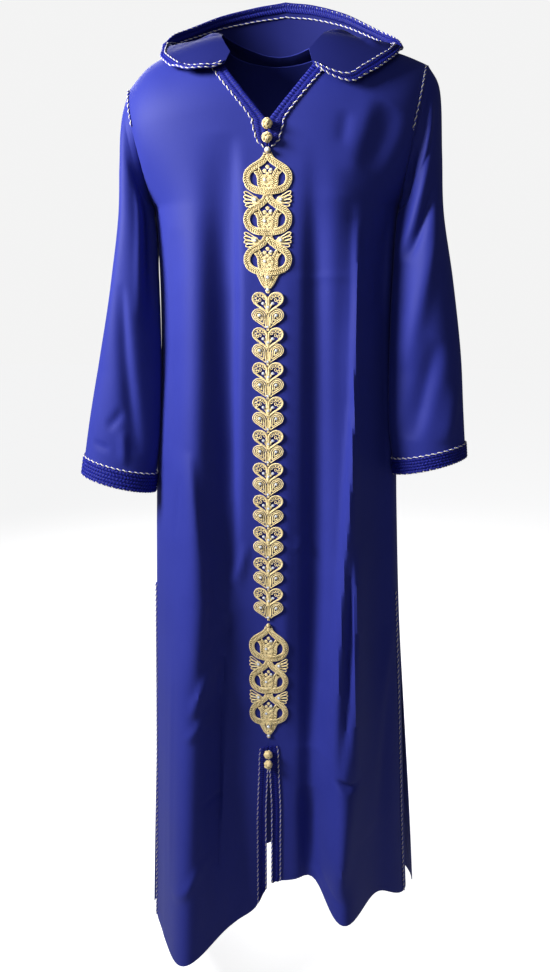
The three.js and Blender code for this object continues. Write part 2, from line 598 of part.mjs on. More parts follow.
for (let pair = 0; pair < LEAF_PAIRS; pair += 1) {
  const number = String(pair + 1).padStart(2, "0");
  layOnFront(`leaf_pair_${number}`, leafPair(pair % 2 === 0), LEAF_TOP - pair * LEAF_PITCH, TRIM_GAP);
}

// ---- Woven buttons and the beads between the trims -----------------------------------------------
const BEAD = 4.4;             // radius of the bead above the upper panel
const SMALL_BEAD = 3.3;       // radius of the bead above the lower panel
const ON_BRAID = TRIM_GAP + BRAID_WALL + SEAM;
// Each ball's radius, the height of its middle and how far it is lifted off the cloth.
const BALLS = [
  { name: "button_upper_1", radius: BUTTON, height: -100, lift: ON_BRAID },
  { name: "button_upper_2", radius: BUTTON, height: -118.5, lift: ON_BRAID },
  { name: "bead_upper", radius: BEAD, height: -134.6, lift: TRIM_GAP },
  { name: "bead_lower", radius: SMALL_BEAD, height: -869.2, lift: TRIM_GAP },
  { name: "button_lower_1", radius: BUTTON, height: -1105, lift: ON_BRAID },
  { name: "button_lower_2", radius: BUTTON, height: -1124, lift: ON_BRAID },
];
const BALL_FACETS = { around: 14, down: 9 };

for (const { name, radius, height, lift } of BALLS) {
  const ball = new THREE.SphereGeometry(radius, BALL_FACETS.around, BALL_FACETS.down);
  ball.rotateX(Math.PI / 2);
  ball.translate(0, frontFaceY(height) - lift - radius, height);
  addPiece(name, ball, goldBraid);
}

export default djellaba;
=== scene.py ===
import math
from collections import namedtuple

import bpy
import numpy as np
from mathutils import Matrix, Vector


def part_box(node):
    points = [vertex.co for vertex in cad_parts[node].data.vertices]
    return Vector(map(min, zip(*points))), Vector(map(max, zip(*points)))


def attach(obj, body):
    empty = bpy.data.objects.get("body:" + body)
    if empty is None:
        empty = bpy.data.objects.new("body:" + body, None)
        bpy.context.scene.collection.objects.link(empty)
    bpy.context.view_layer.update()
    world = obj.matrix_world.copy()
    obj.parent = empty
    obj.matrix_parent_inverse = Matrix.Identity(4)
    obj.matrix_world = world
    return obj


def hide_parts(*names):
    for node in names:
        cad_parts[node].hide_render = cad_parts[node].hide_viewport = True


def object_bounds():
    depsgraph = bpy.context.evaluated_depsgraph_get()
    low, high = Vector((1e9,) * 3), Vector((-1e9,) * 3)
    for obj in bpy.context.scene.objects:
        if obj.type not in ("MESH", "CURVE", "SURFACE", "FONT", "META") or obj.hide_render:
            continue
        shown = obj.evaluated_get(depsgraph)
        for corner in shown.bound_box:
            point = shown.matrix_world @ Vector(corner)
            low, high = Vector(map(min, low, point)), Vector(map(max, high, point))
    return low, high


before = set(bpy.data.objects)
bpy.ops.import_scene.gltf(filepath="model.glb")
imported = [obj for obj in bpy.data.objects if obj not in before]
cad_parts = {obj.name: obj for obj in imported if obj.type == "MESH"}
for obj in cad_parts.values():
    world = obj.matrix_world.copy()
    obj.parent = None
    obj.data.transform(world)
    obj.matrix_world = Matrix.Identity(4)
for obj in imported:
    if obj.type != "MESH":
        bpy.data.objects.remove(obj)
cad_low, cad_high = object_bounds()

# ---- Camera ------------------------------------------------------------------------------------
# A standing person's view of the robe: a little to the wearer's left of straight ahead, from
# the height of the chest, looking gently down.
EYE = (0.1525, -1.3578, -0.3255)
EYE_AZIMUTH = math.radians(6.5)
EYE_DIP = math.radians(13.77)
FOCAL = 0.83744856  # focal length over the long side of the view
bpy.ops.object.camera_add(location=EYE, rotation=(math.pi / 2 - EYE_DIP, 0, EYE_AZIMUTH))
camera = bpy.context.object
camera.name = "studio_camera"
camera.data.lens = FOCAL * camera.data.sensor_width
bpy.context.scene.camera = camera
bpy.context.scene.view_settings.view_transform = "Standard"

# ---- Studio floor and light --------------------------------------------------------------------
# The robe is held at the shoulders, clear of a plain pale floor. One soft lamp stands high on the
# viewer's left and one behind the robe; weak ones fill the front and the right side.
HEM_CLEARANCE = 0.07
FLOOR_SIZE = 24.0
FLOOR_GLOW = 0.872  # keeps the far floor as pale as the near, for the eye only


class Pattern:
    """One output of a tree of nodes. Python maths on it adds the Math nodes that work it out."""

    def __init__(self, tree, socket):
        self.tree, self.socket = tree, socket

    def node(self, kind, settings=None, inputs=None, output=0):
        """Adds any other node: its type, its settings, then the values or links of its sockets."""
        made = self.tree.nodes.new(kind)
        for setting, value in (settings or {}).items():
            setattr(made, setting, value)
        for name, value in (inputs or {}).items():
            if isinstance(value, Pattern):
                self.tree.links.new(value.socket, made.inputs[name])
            else:
                made.inputs[name].default_value = value
        return Pattern(self.tree, made.outputs[output])

    def maths(self, operation, first, second=0.0):
        return self.node("ShaderNodeMath", {"operation": operation}, {0: first, 1: second})

    def __add__(self, other):
        return self.maths("ADD", self, other)

    def __sub__(self, other):
        return self.maths("SUBTRACT", self, other)

    def __rsub__(self, other):
        return self.maths("SUBTRACT", other, self)

    def __mul__(self, other):
        return self.maths("MULTIPLY", self, other)

    __radd__, __rmul__ = __add__, __mul__

    def wave(self):
        """Sine of a pattern, from 0 to 1."""
        return self.maths("SINE", self) * 0.5 + 0.5

    def noise(self, scale, detail=2.0):
        return self.node("ShaderNodeTexNoise", {}, {"Vector": self, "Scale": scale, "Detail": detail})

    def stretched(self, first, second):
        """Noise drawn out into streaks: its scale each way over the flat coordinates."""
        inputs = {"Vector": self, "Scale": (first, second, 1.0)}
        return self.node("ShaderNodeMapping", {}, inputs).noise(1.0)

    def part(self, axis):
        """One axis of the flat coordinates, 0 or 1."""
        return self.node("ShaderNodeSeparateXYZ", {}, {0: self}, output=axis)

    def blend(self, low, high):
        """A colour between two, by this pattern."""
        return self.node("ShaderNodeMix", {"data_type": "RGBA"}, {0: self, 6: low, 7: high}, output=2)

    def feed(self, shader, socket):
        self.tree.links.new(self.socket, shader.inputs[socket])


class Finish:
    """A material: its block, its shader with constant sockets set, and its flat and place patterns."""

    def __init__(self, name, constants):
        self.block = bpy.data.materials.new(name)
        self.block.use_nodes = True
        tree = self.block.node_tree
        self.shader = tree.nodes["Principled BSDF"]
        for socket, value in constants.items():
            self.shader.inputs[socket].default_value = value
        outputs = tree.nodes.new("ShaderNodeTexCoord").outputs
        self.flat, self.place = Pattern(tree, outputs["UV"]), Pattern(tree, outputs["Object"])

    def colour(self, tone, low, high, rough):
        """Colours it between two by the tone, and makes it rough by another pattern."""
        tone.blend((*low, 1), (*high, 1)).feed(self.shader, "Base Color")
        rough.feed(self.shader, "Roughness")

    def raise_by(self, height, distance, strength):
        """Raises its surface by a pattern of heights, through a bump."""
        inputs = {"Height": height, "Distance": distance, "Strength": strength}
        height.node("ShaderNodeBump", {}, inputs).feed(self.shader, "Normal")


bpy.ops.object.select_all(action="DESELECT")
bpy.ops.mesh.primitive_plane_add(size=FLOOR_SIZE, location=(0, 0, cad_low.z - HEM_CLEARANCE))
floor = bpy.context.object
floor.name = "studio_floor"
pale = Finish(
    "pale_floor",
    {
        "Base Color": (0.5, 0.5, 0.51, 1),
        "Roughness": 0.9,
        "Specular IOR Level": 0.1,
        "Emission Strength": FLOOR_GLOW,
    },
)
pale.flat.node("ShaderNodeLightPath").feed(pale.shader, "Emission Color")
floor.data.materials.append(pale.block)

LAMPS = [  # name, place, height aimed at, size, power
    ("key_lamp", (-1.62, -0.95, 0.5), -0.1, 0.8, 43),
    ("front_lamp", (0.0, -3.0, 0.8), -0.5, 2.2, 5.5),
    ("right_lamp", (2.4, -1.2, 0.3), -0.6, 2.0, 1),
    ("back_lamp", (-1.2, 3.0, 1.2), -0.5, 2.4, 50),
]
LAMP_SPREAD = math.radians(115)
for lamp_name, place, aimed, size, power in LAMPS:
    aim = (Vector((0, 0, aimed)) - Vector(place)).to_track_quat("-Z", "Y").to_euler()
    bpy.ops.object.light_add(type="AREA", location=place, rotation=aim)
    lamp = bpy.context.object
    lamp.name = lamp_name
    lamp.data.shape = "DISK"
    lamp.data.size = size
    lamp.data.energy = power
    lamp.data.spread = LAMP_SPREAD

AMBIENT = 0.06
PALE_ROOM = 0.9  # as the eye sees it
world = bpy.data.worlds.new("pale_room")
bpy.context.scene.world = world
world.use_nodes = True
room = Pattern(world.node_tree, None)
seen = room.node("ShaderNodeBackground", {}, {"Color": (PALE_ROOM, PALE_ROOM, PALE_ROOM, 1)})
lit = room.node("ShaderNodeBackground", {}, {"Color": (0.9, 0.94, 1.0, 1), "Strength": AMBIENT})
ray = room.node("ShaderNodeLightPath")
room.node("ShaderNodeMixShader", {}, {0: ray, 1: lit, 2: seen}).feed(
    world.node_tree.nodes["World Output"], "Surface"
)

# ---- Body cloth --------------------------------------------------------------------------------
# The robe is cut from one royal blue crepe. Fronts and back hang from the shoulder line, widen
# towards the hem and fall in a few long soft folds; these are the driving sizes and that hang.
CLOTH = 0.0016
SEAM = 0.0003
TRIM_GAP = 0.0005
NECK_POINT = 0.039
SHOULDER_ROUND = 0.12
ARMHOLE = 0.242
ARMHOLE_DEPTH = 0.058
UNDERARM_SOFTNESS = 2.6  # power by which the cloth beside the armhole closes under the arm
SIDE_SLIT_TOP = 0.872
SLIT_LEAD, SLIT_DRAW, SLIT_GAP = 0.01, 0.009, 0.009  # how a side slit begins, narrows and stands open
HEM = 1.48
HEM_DROP_TOP = 0.9  # below this the hem's own curve begins to pull the cloth
FLAT_FRONT, FLAT_EASE = 0.042, 0.026  # half width of the flat centre front, and of its run-out
SECTION_POWER = 2.3  # of the curve from the flat front round to the side
EDGE_POWER = 8
FOLD_RISE = 1.6  # how soon folds reach their full depth in from the side
FOLD_FALL = 1.6  # power by which folds deepen down the cloth
FOLD_SPREAD = 0.4  # how much wider a fold is at the hem
FOLD_LEAD, FOLD_SET = 0.06, 0.16  # where a fold's chest depth begins and is reached, from its start


def rows(kind, *values):
    """A table: its rows, with their columns named as in kind."""
    return [kind(*row) for row in values]


BodySection = namedtuple("BodySection", "below half front back sway")
ShoulderPoint = namedtuple("ShoulderPoint", "out left right")
HemPoint = namedtuple("HemPoint", "x drop")
Fold = namedtuple("Fold", "x foot width chest hem start")

# Half width and depths of the worn body down the cloth from the neck point.
BODY_SECTIONS = rows(
    BodySection,
    (0.0, 0.23, 0.106, 0.092, 0.0),
    (0.12, 0.214, 0.11, 0.1, 0.0),
    (0.242, 0.194, 0.112, 0.102, 0.0),
    (0.45, 0.191, 0.112, 0.098, 0.0),
    (0.6, 0.202, 0.112, 0.102, -0.001),
    (0.73, 0.208, 0.112, 0.108, -0.001),
    (0.925, 0.217, 0.112, 0.112, 0.001),
    (1.11, 0.228, 0.112, 0.116, 0.004),
    (1.31, 0.241, 0.112, 0.12, 0.006),
    (1.48, 0.252, 0.112, 0.124, 0.007),
)
SHOULDER_LINE = rows(
    ShoulderPoint,
    (0.0, 0.039, 0.039), (0.08, 0.039, 0.039), (0.14, 0.026, 0.026), (0.19, 0.012, 0.008),
    (0.23, -0.003, -0.027),
)
FRONT_HEM = rows(
    HemPoint,
    (-0.252, -0.095), (-0.19, -0.06), (-0.14, -0.036), (-0.07, -0.016), (-0.027, 0.014), (0.0, 0.068),
    (0.033, 0.08), (0.075, 0.084), (0.12, 0.054), (0.19, 0.05), (0.252, 0.008),
)
BACK_HEM = rows(
    HemPoint,
    (-0.252, -0.095), (-0.11, -0.03), (0.0, -0.026), (0.11, -0.02), (0.252, 0.004),
)
FRONT_FOLDS = rows(
    Fold,
    (-0.112, -0.14, 0.042, 0.007, 0.104, 0.25),
    (-0.078, -0.076, 0.022, -0.009, -0.012, 0.2),
    (0.068, 0.08, 0.02, -0.01, -0.02, 0.2),
    (0.104, 0.14, 0.032, 0.01, 0.076, 0.22),
    (0.16, 0.19, 0.02, -0.006, -0.016, 0.3),
)
BACK_FOLDS = rows(
    Fold,
    (-0.12, -0.15, 0.04, 0.008, 0.052, 0.3),
    (-0.045, -0.06, 0.03, -0.008, -0.016, 0.34),
    (0.022, 0.02, 0.03, 0.009, 0.034, 0.32),
    (0.08, 0.084, 0.026, -0.007, -0.014, 0.36),
    (0.128, 0.158, 0.038, 0.009, 0.06, 0.28),
)


def along(table, key, at, column):
    """Values of a table's column at places along its key column, on a smooth curve."""
    keys = np.array([getattr(row, key) for row in table], float)
    values = np.array([getattr(row, column) for row in table], float)
    place = np.clip(at, keys[0], keys[-1])
    row = np.clip(np.searchsorted(keys, place) - 1, 0, len(keys) - 2)
    before = np.maximum(row - 1, 0)
    after = np.minimum(row + 2, len(keys) - 1)
    span = keys[row + 1] - keys[row]
    slope_in = (values[row + 1] - values[before]) / (keys[row + 1] - keys[before])
    slope_out = (values[after] - values[row]) / (keys[after] - keys[row])
    t = (place - keys[row]) / span
    t2, t3 = t * t, t * t * t
    start = (2 * t3 - 3 * t2 + 1) * values[row] + (t3 - 2 * t2 + t) * span * slope_in
    return start + (3 * t2 - 2 * t3) * values[row + 1] + (t3 - t2) * span * slope_out


def ease(at, low, high):
    t = np.clip((at - low) / (high - low), 0, 1)
    return t * t * (3 - 2 * t)


def shoulder_height(x):
    left = along(SHOULDER_LINE, "out", np.abs(x), "left")
    right = along(SHOULDER_LINE, "out", np.abs(x), "right")
    return np.where(x > 0, left, right)


def half_width(below):
    shoulder, underarm = BODY_SECTIONS[0].half, BODY_SECTIONS[2].half
    armhole_edge = shoulder + (underarm - shoulder) * below / ARMHOLE
    return np.where(below < ARMHOLE, armhole_edge, along(BODY_SECTIONS, "below", below, "half"))


def slit_opening(below):
    return ease(below, SIDE_SLIT_TOP - SLIT_LEAD, HEM)


def side_edge(face, side, below):
    """Distance of a panel's side edge from the centre: side is 1 on the wearer's left."""
    draw = -SLIT_DRAW if face < 0 else SLIT_DRAW / 2
    sway = along(BODY_SECTIONS, "below", below, "sway")
    return half_width(below) + side * sway + draw * slit_opening(below)


def fold_swell(folds, x, below):
    swell = np.zeros(np.broadcast(x, below).shape)
    for fold in folds:
        fall = np.clip((below - fold.start) / (HEM - fold.start), 0, 1)
        middle = fold.x + (fold.foot - fold.x) * fall
        reach = (x - middle) / (fold.width * (1 + FOLD_SPREAD * fall))
        chest = ease(below, fold.start - FOLD_LEAD, fold.start + FOLD_SET) * fold.chest
        swell = swell + (chest + (fold.hem - fold.chest) * fall**FOLD_FALL) * np.exp(-reach * reach)
    return swell


def body_point(face, x, below):
    """Points of the body cloth, in front where face is -1 and behind where it is 1."""
    x, below = np.broadcast_arrays(np.asarray(x, float), np.asarray(below, float))
    half = np.where(x < 0, side_edge(face, -1, below), side_edge(face, 1, below))
    out = np.clip((np.abs(x) - FLAT_FRONT) / (half - FLAT_FRONT), 0, 1)
    section = np.sqrt(1 - out**SECTION_POWER)
    rounding = 1 - np.clip(below / SHOULDER_ROUND, 0, 1)
    arm_turn = np.clip(2 * below / ARMHOLE - 1, -1, 1)
    open_arm = np.sqrt(1 - arm_turn**2)
    inside = np.where(arm_turn > 0, open_arm**UNDERARM_SOFTNESS, open_arm)
    edge = ARMHOLE_DEPTH * (inside + (open_arm - inside) * out**EDGE_POWER)
    edge = edge + SLIT_GAP * slit_opening(below)
    depth_column = "front" if face < 0 else "back"
    full = along(BODY_SECTIONS, "below", below, depth_column) * np.sqrt(1 - rounding**2)
    folds = fold_swell(FRONT_FOLDS if face < 0 else BACK_FOLDS, x, below)
    flatness = ease(np.abs(x), FLAT_FRONT, FLAT_FRONT + FLAT_EASE) if face < 0 else 1
    depth = edge + (full - edge) * section + folds * np.minimum(section * FOLD_RISE, 1) * flatness
    sloped = (shoulder_height(x) - NECK_POINT) * (1 - ease(below, 0, ARMHOLE))
    drop = along(FRONT_HEM if face < 0 else BACK_HEM, "x", x, "drop")
    hang = drop * np.clip((below - HEM_DROP_TOP) / (HEM - HEM_DROP_TOP), 0, 1) ** 2
    return np.stack([x, face * (depth + SEAM / 2), NECK_POINT - below + sloped + hang], axis=-1)


Crease = namedtuple("Crease", "route height left right")
CREASE_RUNOUT, CREASE_BLUNT = 4.5, 0.8  # how fast a crease fades in at its ends, and how bluntly


def crease_height(creases, across, down):
    """Height of listed creases: each follows its route and falls off at its own width each side."""
    height = np.zeros(np.broadcast(across, down).shape)
    for crease in creases:
        route = np.array(crease.route, float)
        spans = np.linalg.norm(np.diff(route, axis=0), axis=1)
        starts = np.concatenate([[0], np.cumsum(spans)])
        nearest = np.full(height.shape, np.inf)
        left_of = np.zeros(height.shape)
        passed = np.zeros(height.shape)
        for start, end, span, before in zip(route[:-1], route[1:], spans, starts):
            way = (end - start) / span
            off_across, off_down = across - start[0], down - start[1]
            t = np.clip(off_across * way[0] + off_down * way[1], 0, span)
            distance = np.hypot(off_across - t * way[0], off_down - t * way[1])
            closer = distance < nearest
            nearest = np.where(closer, distance, nearest)
            left_of = np.where(closer, way[0] * off_down - way[1] * off_across, left_of)
            passed = np.where(closer, (before + t) / starts[-1], passed)
        width = np.where(left_of > 0, crease.left, crease.right)
        fade = np.clip(CREASE_RUNOUT * passed * (1 - passed), 0, 1) ** CREASE_BLUNT
        height = height + crease.height * fade * np.exp(-((nearest / width) ** 2))
    return height


TINY = 1e-12


def unit(vectors):
    """Each vector at length one."""
    return vectors / np.maximum(np.linalg.norm(vectors, axis=-1, keepdims=True), TINY)


FEEL = 0.0005  # how far to each side the slope of a face is felt


def laid(face, across, down, lift=0.0):
    """Points of a cloth face, lifted off it along its normal. face gives them from two coordinates."""
    across, down = np.broadcast_arrays(np.asarray(across, float), np.asarray(down, float))
    run = face(across + FEEL, down) - face(across - FEEL, down)
    fall = face(across, down + FEEL) - face(across, down - FEEL)
    lift = np.broadcast_to(np.asarray(lift, float), across.shape)
    return face(across, down) + unit(np.cross(fall, run)) * lift[..., None]


def lengths_along(path):
    """How far along a path each of its points is."""
    return np.concatenate([[0], np.cumsum(np.linalg.norm(np.diff(path, axis=0), axis=1))])


CORD_SIDES = 5


class Bag:
    """Collects the vertices, faces, flat coordinates and finishes of one piece's mesh."""

    def __init__(self):
        self.points, self.faces, self.flat, self.finishes = [], [], [], []
        self.count = 0

    def add(self, points, faces, flat, finish=0):
        self.points.append(points.reshape(-1, 3))
        self.faces += [[corner + self.count for corner in face] for face in faces]
        self.flat.append(flat.reshape(-1, 2))
        self.finishes += [finish] * len(faces)
        self.count += len(self.points[-1])

    def add_wall(self, outer, inner, flat, finish=0):
        """A closed wall between two grids of points; a grid's rows run across."""
        number = np.arange(outer[..., 0].size).reshape(outer.shape[:2])
        a, b, c, d = number[:-1, :-1], number[1:, :-1], number[1:, 1:], number[:-1, 1:]
        front = np.stack([a, b, c, d], axis=-1).reshape(-1, 4)
        back = front[:, ::-1] + number.size
        edge = np.concatenate([number[0, :], number[1:, -1], number[-1, -2::-1], number[-2:0:-1, 0]])
        ahead = np.roll(edge, -1)
        rim = np.stack([edge, ahead, ahead + number.size, edge + number.size], axis=-1)
        faces = np.concatenate([front, back, rim]).tolist()
        self.add(np.stack([outer, inner]), faces, np.stack([flat, flat]), finish)

    def add_cord(self, path, up, radius, finish=0, closed=False):
        """A round cord along a path; up is a direction, or one a point, that is never along it."""
        ahead = np.roll(path, -1, axis=0) - np.roll(path, 1, axis=0)
        if not closed:
            ahead[0], ahead[-1] = path[1] - path[0], path[-1] - path[-2]
        ahead = unit(ahead)
        side = unit(np.cross(ahead, np.broadcast_to(up, path.shape)))
        top = np.cross(side, ahead)
        turn = 2 * math.pi * np.arange(CORD_SIDES) / CORD_SIDES
        round_off = top[:, None] * np.cos(turn)[:, None] + side[:, None] * -np.sin(turn)[:, None]
        thick = np.broadcast_to(np.asarray(radius, float), (len(path),))[:, None, None]
        points = path[:, None] + thick * round_off
        number = np.arange(len(path) * CORD_SIDES).reshape(len(path), CORD_SIDES)
        here = number if closed else number[:-1]
        there = np.roll(number, -1, axis=0) if closed else number[1:]
        faces = np.stack([here, np.roll(here, -1, axis=1), np.roll(there, -1, axis=1), there], axis=-1)
        faces = faces.reshape(-1, 4).tolist()
        if not closed:
            faces += [number[0][::-1].tolist(), number[-1].tolist()]
        length = lengths_along(path)[:, None]
        flat = np.stack(np.broadcast_arrays(length, turn[None] * thick[:, :, 0]), axis=-1)
        self.add(points, faces, flat, finish)

    def make(self, name, finishes, sharp=math.radians(50)):
        """Makes the piece from all that was added, at the origin, riding on the robe."""
        mesh = bpy.data.meshes.new(name)
        mesh.from_pydata(np.concatenate(self.points).tolist(), [], self.faces)
        flat = mesh.uv_layers.new(name="flat")
        corners = np.empty(len(mesh.loops), int)
        mesh.loops.foreach_get("vertex_index", corners)
        flat.data.foreach_set("uv", np.concatenate(self.flat)[corners].ravel())
        for finish in finishes:
            mesh.materials.append(finish.block)
        mesh.polygons.foreach_set("material_index", self.finishes)
        mesh.update()
        piece = bpy.data.objects.new(name, mesh)
        bpy.context.scene.collection.objects.link(piece)
        bpy.ops.object.select_all(action="DESELECT")
        piece.select_set(True)
        bpy.context.view_layer.objects.active = piece
        bpy.ops.object.shade_smooth_by_angle(angle=sharp)
        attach(piece, "root")
        return piece


# Crepe: matt, finely pebbled, with a soft bloom where it turns away.
crepe = Finish(
    "royal_blue_crepe",
    {
        "Sheen Weight": 0.1,
        "Sheen Roughness": 0.45,
        "Sheen Tint": (0.42, 0.45, 0.95, 1),
        "Specular IOR Level": 0.16,
    },
)
cloud = crepe.place.noise(11.0, 3.0)
pebble = crepe.flat.noise(1500.0)
slub = crepe.flat.stretched(900.0, 60.0)
tone = cloud * 0.5 + pebble * 0.2 + slub * 0.3
crepe.colour(tone, (0.013, 0.019, 0.185), (0.025, 0.034, 0.265), cloud * 0.14 + pebble * 0.1 + 0.5)
crepe.raise_by(pebble * 0.7 + slub * 0.5, 0.00022, 0.5)


def grid(across, down):
    """Both coordinates all over a grid, whose rows run across."""
    return np.broadcast_arrays(across, down[:, None])


def cloth_panel(name, face, across, down, flat, area, *nodes):
    """A panel's thin wall on its face, from a grid; flat and area are not used."""
    bag = Bag()
    flat_grid = np.stack([across, down], axis=-1)
    bag.add_wall(laid(face, across, down), laid(face, across, down, -CLOTH), flat_grid)
    panel = bag.make(name, [crepe])
    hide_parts(*nodes)
    return panel


def lengths_of(panel):
    """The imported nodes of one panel, which the frame holds as four lengths."""
    return [f"{panel}_{length}" for length in ("yoke", "chest", "hips", "skirt")]


# ---- Fronts ------------------------------------------------------------------------------------
# Two fronts in blue crepe, joined down the centre under the gold trims from the foot of the V to
# the top of the walking slit. Each runs from that centre to the armhole and the side seam.
V_DEPTH = 0.133
SLIT_TOP = 1.18
NeckPoint = namedtuple("NeckPoint", "below out")
NECKLINE = rows(
    NeckPoint,
    (0.0, 0.082), (0.009, 0.08), (0.03, 0.075), (0.058, 0.063), (0.133, 0.0),
)

# Each crease: its route over the cloth as (across, down), its height, its width to the left and right.
FRONT_CREASES = rows(
    Crease,
    ([(0.177, 0.1), (0.162, 0.15), (0.14, 0.2)], -0.0065, 0.022, 0.018),
    ([(0.152, 0.09), (0.138, 0.15), (0.12, 0.21)], 0.0035, 0.018, 0.014),
    ([(0.113, 0.118), (0.106, 0.168)], -0.0022, 0.01, 0.008),
    ([(0.19, 0.22), (0.168, 0.3), (0.16, 0.42)], -0.0114, 0.014, 0.016),
    ([(-0.055, 0.15), (-0.056, 0.384), (-0.06, 0.536), (-0.062, 0.72), (-0.064, 0.86)], -0.018, 0.034, 0.01),
    ([(-0.15, 0.28), (-0.158, 0.45), (-0.155, 0.62)], -0.0045, 0.012, 0.018),
    ([(-0.125, 0.62), (-0.104, 0.785), (-0.1, 0.873), (-0.112, 1.02)], 0.0114, 0.03, 0.007),
    ([(-0.14, 0.66), (-0.148, 0.71), (-0.156, 0.77)], -0.0033, 0.006, 0.004),
    ([(-0.03, 0.765), (-0.044, 0.8), (-0.064, 0.845)], 0.0053, 0.008, 0.014),
    ([(-0.058, 0.872), (-0.078, 0.895), (-0.098, 0.922)], 0.0045, 0.006, 0.012),
    ([(-0.075, 0.935), (-0.098, 0.995), (-0.127, 1.062)], 0.0104, 0.007, 0.015),
    ([(-0.098, 1.05), (-0.115, 1.08), (-0.138, 1.103)], 0.0045, 0.005, 0.009),
    ([(-0.104, 1.31), (-0.132, 1.35), (-0.168, 1.377)], 0.0053, 0.006, 0.011),
    ([(-0.064, 0.87), (-0.079, 1.0), (-0.087, 1.207), (-0.094, 1.475)], -0.0133, 0.016, 0.006),
    ([(-0.11, 1.215), (-0.094, 1.222), (-0.078, 1.216)], -0.0037, 0.004, 0.006),
    ([(-0.165, 0.95), (-0.171, 1.15), (-0.176, 1.4)], 0.0023, 0.008, 0.004),
    ([(0.12, 0.24), (0.122, 0.384), (0.122, 0.54), (0.112, 0.74), (0.094, 1.15)], -0.024, 0.055, 0.01),
    ([(0.176, 0.26), (0.178, 0.6), (0.184, 0.9), (0.196, 1.3)], -0.013, 0.032, 0.02),
    ([(0.132, 0.27), (0.131, 0.472), (0.134, 0.657), (0.136, 0.79)], 0.0145, 0.016, 0.007),
    ([(0.034, 0.352), (0.08, 0.349), (0.131, 0.351)], 0.0011, 0.006, 0.004),
    ([(0.133, 0.762), (0.135, 0.919), (0.133, 1.058), (0.125, 1.188)], -0.0104, 0.012, 0.005),
    ([(0.141, 0.765), (0.147, 0.936), (0.149, 1.092), (0.15, 1.2)], 0.0142, 0.007, 0.014),
    ([(0.122, 1.178), (0.137, 1.192), (0.153, 1.192)], -0.0095, 0.005, 0.005),
    ([(0.147, 1.186), (0.136, 1.3), (0.12, 1.43)], 0.0142, 0.03, 0.015),
    ([(0.205, 0.93), (0.192, 1.054), (0.184, 1.186), (0.182, 1.33)], 0.0095, 0.024, 0.008),
    ([(0.04, 0.778), (0.051, 0.772), (0.064, 0.77)], 0.0027, 0.004, 0.003),
    ([(0.042, 0.765), (0.052, 0.762), (0.061, 0.763)], 0.0021, 0.003, 0.003),
    ([(0.075, 1.24), (0.08, 1.34), (0.088, 1.45)], -0.0076, 0.02, 0.014),
)


TRIM_HOLD, LOOSE_FROM = 0.024, 0.044  # the gold trims hold the cloth flat out to the first
SEAM_HOLD = 0.02  # creases run out this far from a side seam


def front_face(x, below):
    """Outer face of the fronts: the hung cloth with its creases, held flat under the gold trims."""
    place = body_point(-1, x, below)
    half = np.where(x < 0, side_edge(-1, -1, below), side_edge(-1, 1, below))
    loose = ease(np.abs(x), TRIM_HOLD, LOOSE_FROM) * ease(half - np.abs(x), 0, SEAM_HOLD)
    place[..., 1] -= crease_height(FRONT_CREASES, x, below) * loose
    return place


SLIT_SPREAD = 0.004
SLIT_OPENS = (-0.02, 0.12)  # from the top of the slit


def centre_edge(below):
    """Distance of a front's centre edge from the middle: the neckline, the join, then the slit."""
    neck = along(NECKLINE, "below", below, "out")
    slit = SLIT_SPREAD * ease(below, SLIT_TOP + SLIT_OPENS[0], SLIT_TOP + SLIT_OPENS[1])
    return SEAM / 2 + np.where(below <= V_DEPTH, neck, slit)


FRONT_CUT = (0.34, 1.58)
FRONT_CUT_AREA = 0.43
V_ROWS, FRONT_ROWS, FRONT_COLUMNS = 36, 270, 54
front_down = np.concatenate([np.linspace(0, V_DEPTH, V_ROWS), np.linspace(V_DEPTH, HEM, FRONT_ROWS)[1:]])
quarter = np.linspace(0, math.pi / 2, FRONT_COLUMNS)  # sets the columns closer towards the side
SIDES = [("left", 1), ("right", -1)]
for end, side in SIDES:
    spread, down = grid(np.sin(quarter) if side > 0 else 1 - np.cos(quarter), front_down)
    edge, outer = centre_edge(down), side_edge(-1, side, down)
    across = edge + (outer - edge) * spread if side > 0 else -outer + (outer - edge) * spread
    nodes = lengths_of(f"front_{end}")
    cloth_panel(f"front_panel_{end}", front_face, across, down, FRONT_CUT, FRONT_CUT_AREA, *nodes)

